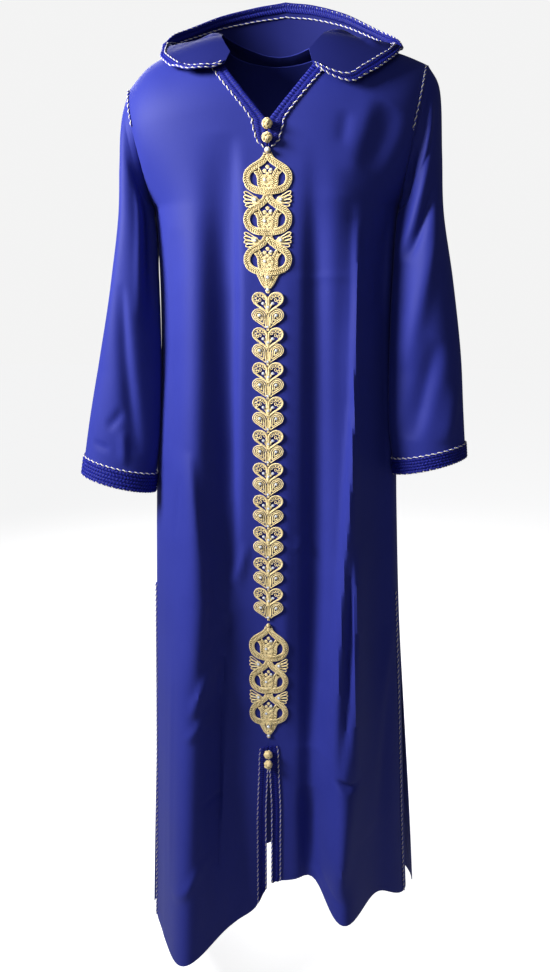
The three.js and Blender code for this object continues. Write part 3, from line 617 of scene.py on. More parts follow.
# ---- Back --------------------------------------------------------------------------------------
# One back in the same crepe, from side seam to side seam. Beside the side slits it stands a little
# wider than the fronts. It hangs in similar long folds, with a few pressed creases.
BACK_CREASES = rows(
    Crease,
    ([(0.14, 0.2), (0.12, 0.32), (0.116, 0.5)], -0.009, 0.016, 0.02),
    ([(-0.17, 0.14), (-0.15, 0.22), (-0.146, 0.36)], -0.009, 0.018, 0.012),
    ([(0.06, 0.3), (0.052, 0.52), (0.056, 0.8), (0.062, 0.98)], 0.0105, 0.03, 0.008),
    ([(-0.03, 0.42), (-0.026, 0.7), (-0.034, 0.92)], -0.0075, 0.01, 0.02),
    ([(-0.118, 0.5), (-0.124, 0.74), (-0.12, 1.0)], 0.009, 0.007, 0.028),
    ([(-0.07, 0.99), (-0.074, 1.2), (-0.088, 1.43)], -0.0105, 0.014, 0.008),
    ([(0.03, 0.86), (0.052, 0.93), (0.08, 0.975)], 0.0053, 0.012, 0.006),
    ([(0.07, 1.02), (0.098, 1.09), (0.13, 1.13)], 0.0067, 0.014, 0.006),
    ([(0.144, 0.95), (0.15, 1.15), (0.162, 1.4)], 0.012, 0.014, 0.03),
    ([(0.1, 1.12), (0.094, 1.26), (0.1, 1.44)], -0.009, 0.012, 0.01),
    ([(0.0, 1.1), (0.01, 1.26), (0.006, 1.44)], 0.009, 0.02, 0.026),
    ([(-0.16, 1.05), (-0.168, 1.22), (-0.18, 1.42)], 0.009, 0.018, 0.01),
    ([(-0.1, 0.35), (-0.03, 0.344), (0.05, 0.352)], 0.0018, 0.014, 0.01),
    ([(-0.13, 1.3), (-0.105, 1.33), (-0.085, 1.34)], 0.0045, 0.01, 0.005),
)


def back_face(across, below):
    """Outer face of the back. across is measured towards the wearer's right, so that it faces out."""
    place = body_point(1, -across, below)
    half = np.where(across > 0, side_edge(1, -1, below), side_edge(1, 1, below))
    loose = ease(half - np.abs(across), 0, SEAM_HOLD)
    place[..., 1] += crease_height(BACK_CREASES, -across, below) * loose
    return place


NECK_DIP = 0.024
BACK_CUT = (0.66, 1.56)
BACK_CUT_AREA = 0.86
BACK_ROWS, BACK_COLUMNS = 280, 97
level = np.linspace(0, HEM, BACK_ROWS)[:, None]
turn = np.linspace(-1, 1, BACK_COLUMNS)[None, :]
across = np.sin(math.pi / 2 * turn) * np.where(turn < 0, side_edge(1, 1, level), side_edge(1, -1, level))
scoop = np.sqrt(1 - np.clip(np.abs(across) / NECKLINE[0].out, 0, 1) ** 2)
down = level + NECK_DIP * scoop * (1 - ease(level, 0, ARMHOLE))
cloth_panel("back_panel", back_face, across, down, BACK_CUT, BACK_CUT_AREA, *lengths_of("back"))

# ---- Sleeves -----------------------------------------------------------------------------------
# Two long straight sleeves, each one panel of crepe closed by an underarm seam, sewn to the armhole
# and widening a little at the cuff. They hang in long diagonal folds from shoulder to wrist.
SleeveRing = namedtuple("SleeveRing", "out_x out_z in_x in_z mid_y depth")
PlacedRing = namedtuple("PlacedRing", ("place",) + SleeveRing._fields)
LEFT_SLEEVE = rows(
    SleeveRing,
    (0.23, -0.003, 0.194, -0.203, 0.0, 0.058),
    (0.249, -0.04, 0.203, -0.214, -0.003, 0.058),
    (0.256, -0.128, 0.201, -0.236, -0.009, 0.057),
    (0.262, -0.215, 0.198, -0.275, -0.017, 0.055),
    (0.28, -0.314, 0.194, -0.338, -0.027, 0.052),
    (0.297, -0.425, 0.193, -0.435, -0.034, 0.048),
    (0.306, -0.52, 0.195, -0.54, -0.038, 0.045),
    (0.313, -0.592, 0.204, -0.622, -0.04, 0.042),
)
RIGHT_SLEEVE = rows(
    SleeveRing,
    (0.23, -0.027, 0.194, -0.203, 0.0, 0.058),
    (0.241, -0.066, 0.202, -0.222, -0.004, 0.058),
    (0.242, -0.128, 0.2, -0.246, -0.012, 0.057),
    (0.244, -0.215, 0.197, -0.285, -0.024, 0.055),
    (0.262, -0.33, 0.191, -0.348, -0.036, 0.052),
    (0.286, -0.438, 0.19, -0.444, -0.044, 0.048),
    (0.307, -0.535, 0.195, -0.562, -0.048, 0.045),
    (0.325, -0.632, 0.206, -0.662, -0.05, 0.042),
)
SLEEVE_START = -0.0004
SLEEVE_ROUND = 0.055  # metres of cloth for each radian round the sleeve
SLEEVE_LENGTH = 0.62

# Routes run round the sleeve, in degrees from its outer edge over the front, and down it from 0 to 1.
LEFT_SLEEVE_CREASES = [
    ([(48, 0.4), (88, 0.55), (132, 0.74)], 0.0072, 0.016, 0.022),
    ([(70, 0.22), (105, 0.34), (150, 0.49)], 0.005, 0.016, 0.02),
    ([(52, 0.33), (88, 0.41), (128, 0.48)], -0.0068, 0.014, 0.014),
    ([(72, 0.68), (96, 0.78), (120, 0.9)], -0.0078, 0.014, 0.018),
    ([(120, 0.02), (126, 0.1), (140, 0.22)], -0.0078, 0.014, 0.012),
    ([(60, 0.04), (66, 0.12), (84, 0.22)], 0.0052, 0.012, 0.012),
    ([(40, 0.78), (52, 0.86), (64, 0.93)], 0.0039, 0.012, 0.016),
    ([(230, 0.15), (262, 0.32), (310, 0.5)], 0.0078, 0.012, 0.02),
    ([(240, 0.4), (270, 0.56), (300, 0.75)], -0.0078, 0.016, 0.012),
]
RIGHT_SLEEVE_CREASES = [
    ([(62, 0.08), (52, 0.4), (44, 0.74)], 0.0065, 0.02, 0.024),
    ([(132, 0.12), (146, 0.4), (150, 0.66)], -0.0104, 0.016, 0.012),
    ([(112, 0.14), (118, 0.4), (120, 0.62)], 0.0052, 0.012, 0.014),
    ([(74, 0.55), (98, 0.72), (126, 0.91)], -0.0065, 0.014, 0.01),
    ([(97, 0.815), (86, 0.84), (72, 0.865)], -0.0039, 0.006, 0.006),
    ([(48, 0.905), (64, 0.91), (82, 0.908)], -0.0026, 0.005, 0.004),
    ([(100, 0.86), (104, 0.9), (106, 0.945)], 0.0039, 0.008, 0.006),
    ([(225, 0.2), (256, 0.35), (300, 0.52)], 0.0078, 0.02, 0.012),
    ([(235, 0.48), (270, 0.6), (305, 0.8)], -0.0078, 0.012, 0.016),
]


def sleeve_creases(table):
    """Creases whose routes are given in degrees and in shares of the sleeve, in metres of its cloth."""
    return [
        Crease([(math.radians(a) * SLEEVE_ROUND, d * SLEEVE_LENGTH) for a, d in route], *sizes)
        for route, *sizes in table
    ]


SLEEVE_FULLNESS = 0.007  # how far a sleeve swells in against the side of the body
FULLEST, FULL_REACH = 0.24, 0.17  # where it swells most, and how far that reaches, down the sleeve
LOWER_FULLNESS = 0.003
LOWER_RINGS = (0.6, 3)
SLEEVE_LAP = 0.007  # how far its inner front laps over the side of the body
LAP_AT, LAP_WIDTH = 2.8, 0.32  # in radians round the sleeve from its outer edge
LAP_BEGINS, LAP_EASES = (0.01, 0.06), (0.52, 0.6)  # metres down the sleeve
SEWN_TOP, CUFF_FREE, CUFF_HOLD = 0.03, 0.02, 0.05  # creases run out towards both ends


SLEEVE_CLEAR = 0.002
UNDERARM_EASE = 0.02


def beside_body(side, place):
    """Moves points of a sleeve out from the side of the body, until they lie just clear of it."""
    x, y, below = place[..., 0], place[..., 1], NECK_POINT - place[..., 2]
    faces = []
    for face, folds, depth_column in [(-1, FRONT_FOLDS, "front"), (1, BACK_FOLDS, "back")]:
        half = side_edge(face, side, below)
        full = along(BODY_SECTIONS, "below", below, depth_column)
        full = full + FOLD_RISE * fold_swell(folds, side * half, below)
        out = (1 - np.clip(np.abs(y) / full, 0, 1) ** 2) ** (1 / SECTION_POWER)
        faces.append(FLAT_FRONT + out * (half - FLAT_FRONT))
    body = np.where(y < 0, faces[0], faces[1]) + SLEEVE_CLEAR
    push = np.maximum(body - side * x, 0) * ease(below, ARMHOLE - UNDERARM_EASE, ARMHOLE + UNDERARM_EASE)
    return np.stack([x + side * push, y, place[..., 2]], axis=-1)


def sleeve_face(rings, side, creases):
    """The outer face of a sleeve, from metres round it, starting at the underarm, and down it."""
    placed = [PlacedRing(number, *ring) for number, ring in enumerate(rings)]

    def face(across, down):
        place = np.clip(down / SLEEVE_LENGTH, 0, 1) * (len(rings) - 1)
        angle = math.pi - side * across / SLEEVE_ROUND
        share = place / (len(rings) - 1)
        full = SLEEVE_FULLNESS * np.exp(-(((share - FULLEST) / FULL_REACH) ** 2))
        full = full + LOWER_FULLNESS * ease(place, *LOWER_RINGS)
        out_x, out_z, in_x, in_z, mid_y, depth = (
            along(placed, "place", place, column) for column in SleeveRing._fields
        )
        in_x = in_x - full
        around = np.mod(angle, 2 * math.pi) * SLEEVE_ROUND
        sewn = ease(down, 0, SEWN_TOP) * ease(SLEEVE_LENGTH - down, CUFF_FREE, CUFF_HOLD)
        swell = crease_height(creases, around, down) * sewn
        x = (out_x + in_x) / 2 + ((out_x - in_x) / 2 + swell) * np.cos(angle)
        lap = np.exp(-(((around / SLEEVE_ROUND - LAP_AT) / LAP_WIDTH) ** 2))
        x = x - SLEEVE_LAP * lap * ease(down, *LAP_BEGINS) * (1 - 0.5 * ease(down, *LAP_EASES))
        y = mid_y - (depth + swell) * np.sin(angle)
        z = (out_z + in_z) / 2 + (out_z - in_z) / 2 * np.cos(angle)
        return beside_body(side, np.stack([side * (x + SLEEVE_START), y, z], axis=-1))

    return face


left_sleeve_face = sleeve_face(LEFT_SLEEVE, 1, sleeve_creases(LEFT_SLEEVE_CREASES))
right_sleeve_face = sleeve_face(RIGHT_SLEEVE, -1, sleeve_creases(RIGHT_SLEEVE_CREASES))
SLEEVE_FACES = [("left", left_sleeve_face), ("right", right_sleeve_face)]
SEAM_TURN = 0.004
SLEEVE_CUT = (0.36, 0.64)
SLEEVE_CUT_AREA = 0.18
FULL_TURN = 2 * math.pi * SLEEVE_ROUND
SLEEVE_ROWS, SLEEVE_COLUMNS = 130, 91
round_sleeve = np.linspace(SEAM_TURN, 1 - SEAM_TURN, SLEEVE_COLUMNS) * FULL_TURN
across, down = grid(round_sleeve, np.linspace(0, SLEEVE_LENGTH, SLEEVE_ROWS))
for end, face in SLEEVE_FACES:
    cloth_panel(f"sleeve_panel_{end}", face, across, down, SLEEVE_CUT, SLEEVE_CUT_AREA, f"sleeve_{end}")

# ---- Hood --------------------------------------------------------------------------------------
# The hood is sewn to the neckline from one top of the V to the other, and lies thrown back: open
# over both shoulders like a wide collar, its bag hanging behind.
HoodSection = namedtuple(
    "HoodSection", "at neck_r neck_z lie_r lie_z low_r low_z swell_r swell_z rim_r rim_z lift draw"
)
# Sections by bearing from the front, in degrees, each from the neck seam out to the rim.
HOOD_SECTIONS = rows(
    HoodSection,
    (33, 0.104, -0.003, 0.107, -0.009, 0.11, -0.015, 0.113, -0.021, 0.116, -0.026, 0.006, 0.0),
    (40, 0.101, 0.01, 0.112, 0.004, 0.124, -0.008, 0.134, -0.024, 0.142, -0.04, 0.018, 0.0),
    (48, 0.096, 0.022, 0.108, 0.016, 0.128, -0.002, 0.146, -0.026, 0.161, -0.047, 0.025, 0.002),
    (55, 0.092, 0.03, 0.106, 0.026, 0.128, 0.008, 0.15, -0.015, 0.171, -0.037, 0.022, 0.005),
    (62, 0.087, 0.036, 0.105, 0.038, 0.13, 0.026, 0.157, 0.0, 0.18, -0.027, 0.016, 0.009),
    (70, 0.083, 0.041, 0.104, 0.048, 0.134, 0.04, 0.166, 0.022, 0.19, -0.004, 0.01, 0.014),
    (80, 0.08, 0.045, 0.104, 0.054, 0.138, 0.047, 0.168, 0.036, 0.19, 0.014, 0.008, 0.016),
    (94, 0.078, 0.047, 0.106, 0.056, 0.142, 0.046, 0.17, 0.036, 0.191, 0.03, 0.012, 0.014),
    (106, 0.075, 0.046, 0.108, 0.054, 0.144, 0.036, 0.178, 0.034, 0.184, 0.052, 0.014, 0.009),
    (120, 0.069, 0.042, 0.11, 0.038, 0.138, -0.036, 0.18, 0.01, 0.162, 0.077, 0.009, 0.004),
    (138, 0.063, 0.037, 0.114, 0.016, 0.134, -0.146, 0.178, -0.03, 0.147, 0.104, 0.004, 0.0),
    (160, 0.06, 0.032, 0.11, -0.002, 0.132, -0.214, 0.176, -0.066, 0.138, 0.124, 0.0, 0.0),
    (180, 0.059, 0.03, 0.109, -0.005, 0.133, -0.246, 0.176, -0.084, 0.136, 0.132, 0.0, 0.0),
)
HOOD_FRONT = 33  # bearing of its front corners
HOOD_REST = 0.011  # how far from the body it lies
HOOD_LIFT = 0.003
SHOULDER_MIDDLE = 0.15  # below the shoulder line; buried points move straight away from it
FURTHEST = 3.0  # how far they may, in distances from there
HALVINGS = 12
STATIONS = ["neck", "lie", "low", "swell", "rim"]
HOOD_REACH = 0.9  # metres round the rim
HOOD_DEPTH = 0.16  # metres from neck to rim over the shoulder

HOOD_CREASES = rows(
    Crease,
    ([(0.88, 0.05), (0.82, 0.05), (0.76, 0.055), (0.7, 0.07), (0.64, 0.09)], -0.012, 0.03, 0.03),
    ([(0.02, 0.05), (0.08, 0.05), (0.14, 0.055), (0.2, 0.07), (0.26, 0.09)], -0.012, 0.03, 0.03),
    ([(0.72, 0.09), (0.68, 0.1), (0.63, 0.11)], -0.014, 0.03, 0.03),
    ([(0.18, 0.09), (0.22, 0.1), (0.27, 0.11)], -0.014, 0.03, 0.03),
    ([(0.86, 0.06), (0.81, 0.09), (0.77, 0.11), (0.72, 0.13)], -0.016, 0.04, 0.04),
    ([(0.04, 0.06), (0.1, 0.09), (0.16, 0.11), (0.21, 0.13)], -0.014, 0.04, 0.04),
    ([(0.765, 0.04), (0.8, 0.09), (0.838, 0.145)], -0.011, 0.01, 0.007),
    ([(0.77, 0.05), (0.808, 0.072), (0.85, 0.095)], -0.009, 0.007, 0.006),
    ([(0.78, 0.065), (0.815, 0.09), (0.85, 0.125)], 0.006, 0.007, 0.006),
    ([(0.66, 0.04), (0.66, 0.08), (0.665, 0.12)], 0.005, 0.012, 0.012),
    ([(0.1, 0.04), (0.085, 0.07), (0.062, 0.105)], -0.01, 0.01, 0.007),
    ([(0.12, 0.07), (0.115, 0.1), (0.1, 0.125)], 0.005, 0.012, 0.01),
    ([(0.4, 0.04), (0.39, 0.08), (0.38, 0.12)], 0.006, 0.016, 0.02),
    ([(0.5, 0.03), (0.5, 0.08), (0.5, 0.13)], -0.006, 0.016, 0.014),
)


def centripetal(stations, at):
    """Points on a centripetal Catmull-Rom curve through five stations, at from 0 to 4."""
    ends = [2 * stations[0] - stations[1], *stations, 2 * stations[-1] - stations[-2]]
    points = np.stack(ends)
    first = np.clip(np.floor(at).astype(int), 0, len(stations) - 2)
    w = (at - first)[..., None]
    pick = [np.take_along_axis(points, (first + k)[None, ..., None], axis=0)[0] for k in range(4)]
    gaps = [np.linalg.norm(pick[k + 1] - pick[k], axis=-1, keepdims=True) ** 0.5 for k in range(3)]
    p0, p1, p2, p3 = pick
    g0, g1, g2 = gaps
    out = ((p1 - p0) / g0 - (p2 - p0) / (g0 + g1) + (p2 - p1) / g1) * g1
    into = ((p2 - p1) / g1 - (p3 - p1) / (g1 + g2) + (p3 - p2) / g2) * g1
    return p1 + out * w + (3 * (p2 - p1) - 2 * out - into) * w**2 + (2 * (p1 - p2) + out + into) * w**3


def buried(x, y, z):
    """Whether points of the hood lie in the body, or nearer to it than the cloth between allows."""
    slope = shoulder_height(x) + HOOD_LIFT - NECK_POINT
    below = NECK_POINT - z + slope
    for _ in range(4):
        below = NECK_POINT - z + slope * (1 - ease(below, 0, ARMHOLE))
    front, back = (np.abs(body_point(face, x, below)[..., 1]) for face in (-1, 1))
    body = np.where(y < 0, front, back)
    return (below > 0) & (np.abs(x) < half_width(below)) & (np.abs(y) < body + HOOD_REST)


def rest_on_body(place):
    """Moves buried points straight out from the middle of the shoulders until they lie clear."""
    x, y, z = place[..., 0], place[..., 1], place[..., 2]
    middle = shoulder_height(x) - SHOULDER_MIDDLE
    least, most = np.ones(z.shape), np.full(z.shape, FURTHEST)
    for _ in range(HALVINGS):
        half = (least + most) / 2
        inside = buried(x, y * half, middle + (z - middle) * half)
        least, most = np.where(inside, half, least), np.where(inside, most, half)
    out = np.where(buried(x, y, z), most, 1.0)
    return np.stack([x, y * out, middle + (z - middle) * out], axis=-1)


def hood_face(across, down):
    """The hood's shown face, from metres round it from the left front corner, and out from the neck."""
    turn = 1 - 2 * np.clip(across / HOOD_REACH, 0, 1)
    bearing = 180 - (180 - HOOD_FRONT) * np.abs(turn)

    def section(*columns):
        return np.stack([along(HOOD_SECTIONS, "at", bearing, column) for column in columns])

    outward = np.linspace(0, 1, len(STATIONS)).reshape((-1,) + (1,) * turn.ndim) ** 2
    lift, draw = np.where(turn < 0, section("lift", "draw"), 0)[:, None] * outward
    reach = section(*(f"{station}_r" for station in STATIONS)) - draw
    height = section(*(f"{station}_z" for station in STATIONS)) + lift
    cut = centripetal(list(np.stack([reach, height], axis=-1)), 4 * np.clip(down / HOOD_DEPTH, 0, 1))
    angle = np.radians(bearing) * np.where(turn < 0, -1, 1)
    place = np.stack([cut[..., 0] * np.sin(angle), -cut[..., 0] * np.cos(angle), cut[..., 1]], axis=-1)
    place[..., 2] += crease_height(HOOD_CREASES, across, down) * ease(down, 0, SEAM_HOLD)
    return rest_on_body(place)


HOOD_CUT = (0.62, 0.4)
HOOD_CUT_AREA = 0.2
HOOD_ROWS, HOOD_COLUMNS = 51, 211
across, down = grid(np.linspace(0, HOOD_REACH, HOOD_COLUMNS), np.linspace(0, HOOD_DEPTH, HOOD_ROWS))
halves = ["hood_left", "hood_right"]
hood_panel = cloth_panel("hood_panel", hood_face, across, down, HOOD_CUT, HOOD_CUT_AREA, *halves)

# The hood's inside shows the wrong side of the crepe, which is duller; its darker colour is painted shade,
# for the hollow of the thrown-back hood.
hood_painted_shade = Finish("crepe_wrong_side", {"Specular IOR Level": 0.1})
napped = hood_painted_shade.place.noise(11.0, 3.0) * 0.5 + hood_painted_shade.flat.noise(1500.0) * 0.5
hood_painted_shade.colour(napped, (0.0075, 0.0105, 0.092), (0.0145, 0.019, 0.155), napped * 0.2 + 0.6)
hood_panel.data.materials.append(hood_painted_shade.block)
shown_faces = (HOOD_ROWS - 1) * (HOOD_COLUMNS - 1)
for polygon in hood_panel.data.polygons[:shown_faces]:
    polygon.material_index = 1

# ---- Blue braid --------------------------------------------------------------------------------
# A flat tufted braid of shiny blue rayon, 15 mm wide, is sewn along the V, the slit and the rim of
# the hood. Each cuff carries five rows of a rounder chain braid.
BRAID = 0.015
BRAID_WALL = 0.0014
V_TOP = 0.058
V_BRAID_FOOT = 0.17
SLIT_BRAID_TOP = 1.145
TUFT = 0.0042  # from one chevron of tufts to the next
TUFT_HEIGHT = 0.0016
TUFT_ROOT = 0.0004
CHEVRON = 1.1  # how far a chevron leans back at the braid's edges, in tufts
TUFT_SMOOTH = math.radians(70)  # sharper edges than this stay sharp on a braid

rayon = Finish(
    "shiny_blue_rayon",
    {
        "Sheen Weight": 0.05,
        "Sheen Roughness": 0.3,
        "Sheen Tint": (0.2, 0.25, 1.0, 1),
        "Specular IOR Level": 0.16,
    },
)
fluff = rayon.place.noise(900.0)
floss = rayon.flat.noise(2600.0)
# The braid's colour swings from near black to bright blue with each chevron of tufts: painted light and
# shade over the tufts.
from_middle = rayon.flat.maths("ABSOLUTE", rayon.flat.part(0) - BRAID / 2)
lean_back = from_middle * (2 * CHEVRON * 2 * math.pi / BRAID)
tuft_light_and_shade = (rayon.flat.part(1) * (2 * math.pi / TUFT) + lean_back).wave()
tone = fluff * 0.3 + floss * 0.2 + tuft_light_and_shade * 0.5
rayon.colour(tone, (0.0008, 0.001, 0.02), (0.015, 0.022, 0.36), floss * 0.3 + 0.36)
rayon.raise_by(floss, 0.0004, 0.8)


def tufted(width_way, length_way):
    """Height of the tufts over the braid: chevrons that rise to a ridge in each half of it."""
    half = np.abs(2 * width_way - 1)
    chevron = 0.5 + 0.5 * np.cos(2 * math.pi * (length_way / TUFT + half * CHEVRON))
    lobe = np.sin(math.pi * np.clip(half, 0, 1)) ** 0.5
    return TUFT_HEIGHT * chevron * lobe + TUFT_ROOT * lobe


def braid_ribbon(name, face, across, down, width_way, length_way, relief, node):
    """A braid on a cloth face: a wall whose outer side carries its tufts or chains."""
    bag = Bag()
    outer = laid(face, across, down, TRIM_GAP + BRAID_WALL * 0.5 + relief)
    flat_grid = np.stack([width_way * BRAID, length_way], axis=-1)
    bag.add_wall(outer, laid(face, across, down, TRIM_GAP), flat_grid)
    ribbon = bag.make(name, [rayon], TUFT_SMOOTH)
    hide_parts(node)
    return ribbon


V_BRAID_BELOW = [0.12, 0.137, 0.161, V_BRAID_FOOT]
V_BRAID_WIDTH = [0.0192, 0.0215, 0.0145, 0.003]
SLIT_BRAID_POINT = 0.15  # share of its width that the slit's braid begins with
SLIT_BRAID_WIDENS = (-0.06, 0.02)  # from its top


def braid_width(below):
    """Width across the front: wider where the braid slants along the V, drawn to a point below it."""
    slanting = np.interp(below, V_BRAID_BELOW, V_BRAID_WIDTH)
    widening = ease(below, SLIT_BRAID_TOP + SLIT_BRAID_WIDENS[0], SLIT_BRAID_TOP + SLIT_BRAID_WIDENS[1])
    hanging = BRAID * (SLIT_BRAID_POINT + (1 - SLIT_BRAID_POINT) * widening)
    return np.where(below < V_BRAID_FOOT, slanting, hanging)


V_SLANT = 1.2  # length of the V's braid over its height
V_TUFTS = 1.25
BRAID_COLUMNS = 11
FRONT_BRAIDS = [  # node, top, foot, steps down it, length over height
    ("neck_braid", V_TOP, V_BRAID_FOOT, 120, V_SLANT),
    ("slit_braid", SLIT_BRAID_TOP, HEM, 310, 1),
]
width_way = np.linspace(0, 1, BRAID_COLUMNS)
for braid_name, top, foot, steps, slant in FRONT_BRAIDS:
    for end, side in SIDES:
        node = f"{braid_name}_{end}"
        place, down = grid(width_way if side > 0 else 1 - width_way, np.linspace(top, foot, steps))
        across = side * (centre_edge(down) + braid_width(down) * place)
        way = np.where(down < V_BRAID_FOOT, down * V_TUFTS, down)
        size = (BRAID, (foot - top) * slant)
        name = f"{braid_name}_tufts_{end}"
        braid_ribbon(name, front_face, across, down, place, way, tufted(place, way), node)


RIM_SHARE = 0.1  # of the hood's depth, over which its width is felt
RIM_COLUMNS = 720


def rim_way(across):
    """How far down the hood's face its braid begins, for a braid of one width along the rim."""
    rim = hood_face(across, np.full_like(across, HOOD_DEPTH))
    within = hood_face(across, np.full_like(across, HOOD_DEPTH * (1 - RIM_SHARE)))
    return HOOD_DEPTH * (1 - RIM_SHARE * np.minimum(BRAID / np.linalg.norm(rim - within, axis=-1), 1))


rim_across = np.linspace(0, HOOD_REACH, RIM_COLUMNS)
rim_length = lengths_along(hood_face(rim_across, np.full_like(rim_across, HOOD_DEPTH)))
across, place = grid(rim_across, width_way)
way = np.broadcast_to(rim_length, place.shape)
down = HOOD_DEPTH + (rim_way(rim_across) - HOOD_DEPTH) * (1 - place)
relief = tufted(place, way)
braid_ribbon("hood_rim_tufts", hood_face, across, down, place, way, relief, "hood_braid")

CUFF_BRAID_TOP = 0.956 * SLEEVE_LENGTH
CUFF_BRAID = (0.027, 0.385)
CHAIN_ROWS = 5
CHAIN_LINK = 0.0052
CHAIN_LEAN = 0.35  # how far a link's edges run ahead of its middle, in links
CHAIN_STAGGER = 0.4
CHAIN_HEIGHT, LINK_HEIGHT = 0.0011, 0.001
CUFF_ROWS, CUFF_COLUMNS = 41, 331
round_cuff = np.linspace(SEAM_TURN, 1 - SEAM_TURN, CUFF_COLUMNS) * FULL_TURN
for end, face in SLEEVE_FACES:
    across, place = grid(round_cuff, np.linspace(0, 1, CUFF_ROWS))
    down = CUFF_BRAID_TOP + (SLEEVE_LENGTH - CUFF_BRAID_TOP) * place
    row_place = 2 * np.mod(place * CHAIN_ROWS, 1) - 1
    which_row = np.minimum(np.floor(place * CHAIN_ROWS), CHAIN_ROWS - 1)
    plump = np.sqrt(np.clip(1 - row_place**2, 0, 1))
    lean = CHAIN_LEAN * np.abs(row_place) * np.where(which_row % 2 > 0, 1, -1)
    link = across / CHAIN_LINK + lean + CHAIN_STAGGER * which_row
    relief = CHAIN_HEIGHT * plump + LINK_HEIGHT * plump * (0.5 + 0.5 * np.cos(2 * math.pi * link))
    way = place * CUFF_BRAID[0] / BRAID
    name, node = f"cuff_chains_{end}", f"cuff_braid_{end}"
    braid_ribbon(name, face, across, down, way, across, relief, node)

# ---- Cream and blue cord -----------------------------------------------------------------------
# A fine cord of one cream and one blue strand twisted together, 3 mm thick, is whipped along both
# edges of the braids, down the side slits and round the armholes.
STRAND = 0.00085
TWIST_OFF = 0.0008  # from the cord's middle to a strand's
TWIST = 0.0098  # length of one full turn
TWIST_STEPS = 8
CORD_LIFT = 0.0016

cream = Finish("cream_cotton", {"Sheen Weight": 0.2, "Specular IOR Level": 0.35})
ply = cream.flat.stretched(2400.0, 3600.0)
cream.colour(ply, (0.6, 0.55, 0.44), (0.9, 0.87, 0.78), ply * 0.2 + 0.5)
cream.raise_by(ply, 0.0002, 0.6)

cord_blue = Finish("blue_cord", {"Specular IOR Level": 0.5})
ply = cord_blue.flat.noise(3000.0)
cord_blue.colour(ply, (0.02, 0.024, 0.26), (0.05, 0.06, 0.5), ply * 0.2 + 0.32)
cord_blue.raise_by(ply, 0.0002, 0.6)


def read_at(at, known, columns):
    """Each column of a table, read at places between the known ones."""
    return np.stack([np.interp(at, known, column) for column in columns.T], axis=1)


def evenly(path, step):
    """A path's points at equal steps along it, near the step asked for."""
    length = lengths_along(path)
    at = np.linspace(0, length[-1], max(int(round(length[-1] / step)) + 1, 3))
    return read_at(at, length, path), at


FELT_LIFT = 0.002  # a route lifted by this shows which way is up along a cord


def twisted_cord(bag, face, across, down, lift=CORD_LIFT, plump=(1.0, 1.0)):
    """Two strands, cream and blue, twisted along a route on a cloth face; plump scales them."""
    path, at = evenly(laid(face, across, down, lift), TWIST / TWIST_STEPS)
    above, _ = evenly(laid(face, across, down, lift + FELT_LIFT), TWIST / TWIST_STEPS)
    above = read_at(np.linspace(0, 1, len(path)), np.linspace(0, 1, len(above)), above)
    up = unit(above - path)
    side = np.cross(unit(np.gradient(path, axis=0)), up)
    for strand in (0, 1):
        angle = 2 * math.pi * (at / TWIST + strand / 2)
        round_off = up * np.cos(angle)[:, None] + side * np.sin(angle)[:, None]
        bag.add_cord(path + TWIST_OFF * round_off, up, STRAND * plump[strand], finish=strand)


SMOOTH = math.radians(75)  # sharper edges than this stay sharp on a cord


def cord(name, *routes):
    """One piece of cord. Each route is a face, across and down, and can add a lift and a plumpness."""
    bag = Bag()
    for route in routes:
        twisted_cord(bag, *route)
    bag.make(name, [cream, cord_blue], SMOOTH)


EDGE_OUT = 0.0012
CORD_END = HEM - 0.002
FLAT_TWIST = (0.72, 1.15)  # at the slits the blue strand is the thicker one
ARMHOLE_CORD_TOP = 0.012
ARMHOLE_CORD_FRONT = {"left": 0.128, "right": 0.1}  # there it passes under a fold of the sleeve
SIDE_CORD_IN, ARMHOLE_CORD_IN, ARMHOLE_CORD_LIFT = 0.006, 0.004, 0.0014
NECK_CORD_ENDS = (0.002, 0.001)
INNER_CORD_LATER = 0.03  # how far below the outer run the inner one begins
NECK_STEPS, OUTER_STEPS, INNER_STEPS, SIDE_STEPS, ARMHOLE_STEPS = 110, 160, 150, 200, 160
for end, side in SIDES:
    down = np.linspace(V_TOP + NECK_CORD_ENDS[0], V_BRAID_FOOT - NECK_CORD_ENDS[1], NECK_STEPS)
    outer = centre_edge(down) + braid_width(down) + EDGE_OUT
    cord(f"neck_cord_{end}", (front_face, side * outer, down))

    outer_down = np.linspace(SLIT_BRAID_TOP, CORD_END, OUTER_STEPS)
    outer = centre_edge(outer_down) + braid_width(outer_down) + EDGE_OUT
    inner_down = np.linspace(SLIT_BRAID_TOP + INNER_CORD_LATER, CORD_END, INNER_STEPS)
    inner = centre_edge(inner_down) + EDGE_OUT
    cord(
        f"slit_cord_{end}",
        (front_face, side * outer, outer_down, CORD_LIFT, FLAT_TWIST),
        (front_face, side * inner, inner_down, CORD_LIFT + EDGE_OUT, FLAT_TWIST),
    )

    down = np.linspace(SIDE_SLIT_TOP, CORD_END, SIDE_STEPS)
    edge = side_edge(-1, side, down) - SIDE_CORD_IN
    cord(f"side_slit_cord_{end}", (front_face, side * edge, down, CORD_LIFT, FLAT_TWIST))

    routes = []
    for face, turn, foot in [
        (front_face, side, ARMHOLE_CORD_FRONT[end]), (back_face, -side, ARMHOLE - ARMHOLE_CORD_TOP)
    ]:
        down = np.linspace(ARMHOLE_CORD_TOP, foot, ARMHOLE_STEPS)
        routes.append((face, turn * (half_width(down) - ARMHOLE_CORD_IN), down, ARMHOLE_CORD_LIFT))
    cord(f"armhole_cord_{end}", *routes)

RIM_END, RIM_EDGE, RIM_CORD_LIFT = 0.004, 0.0006, 0.0008
rim_across = np.linspace(RIM_END, HOOD_REACH - RIM_END, 900)
cord(
    "hood_cord",
    (hood_face, rim_across, np.full_like(rim_across, HOOD_DEPTH - RIM_EDGE), RIM_CORD_LIFT),
    (hood_face, rim_across, rim_way(rim_across) - EDGE_OUT),
)

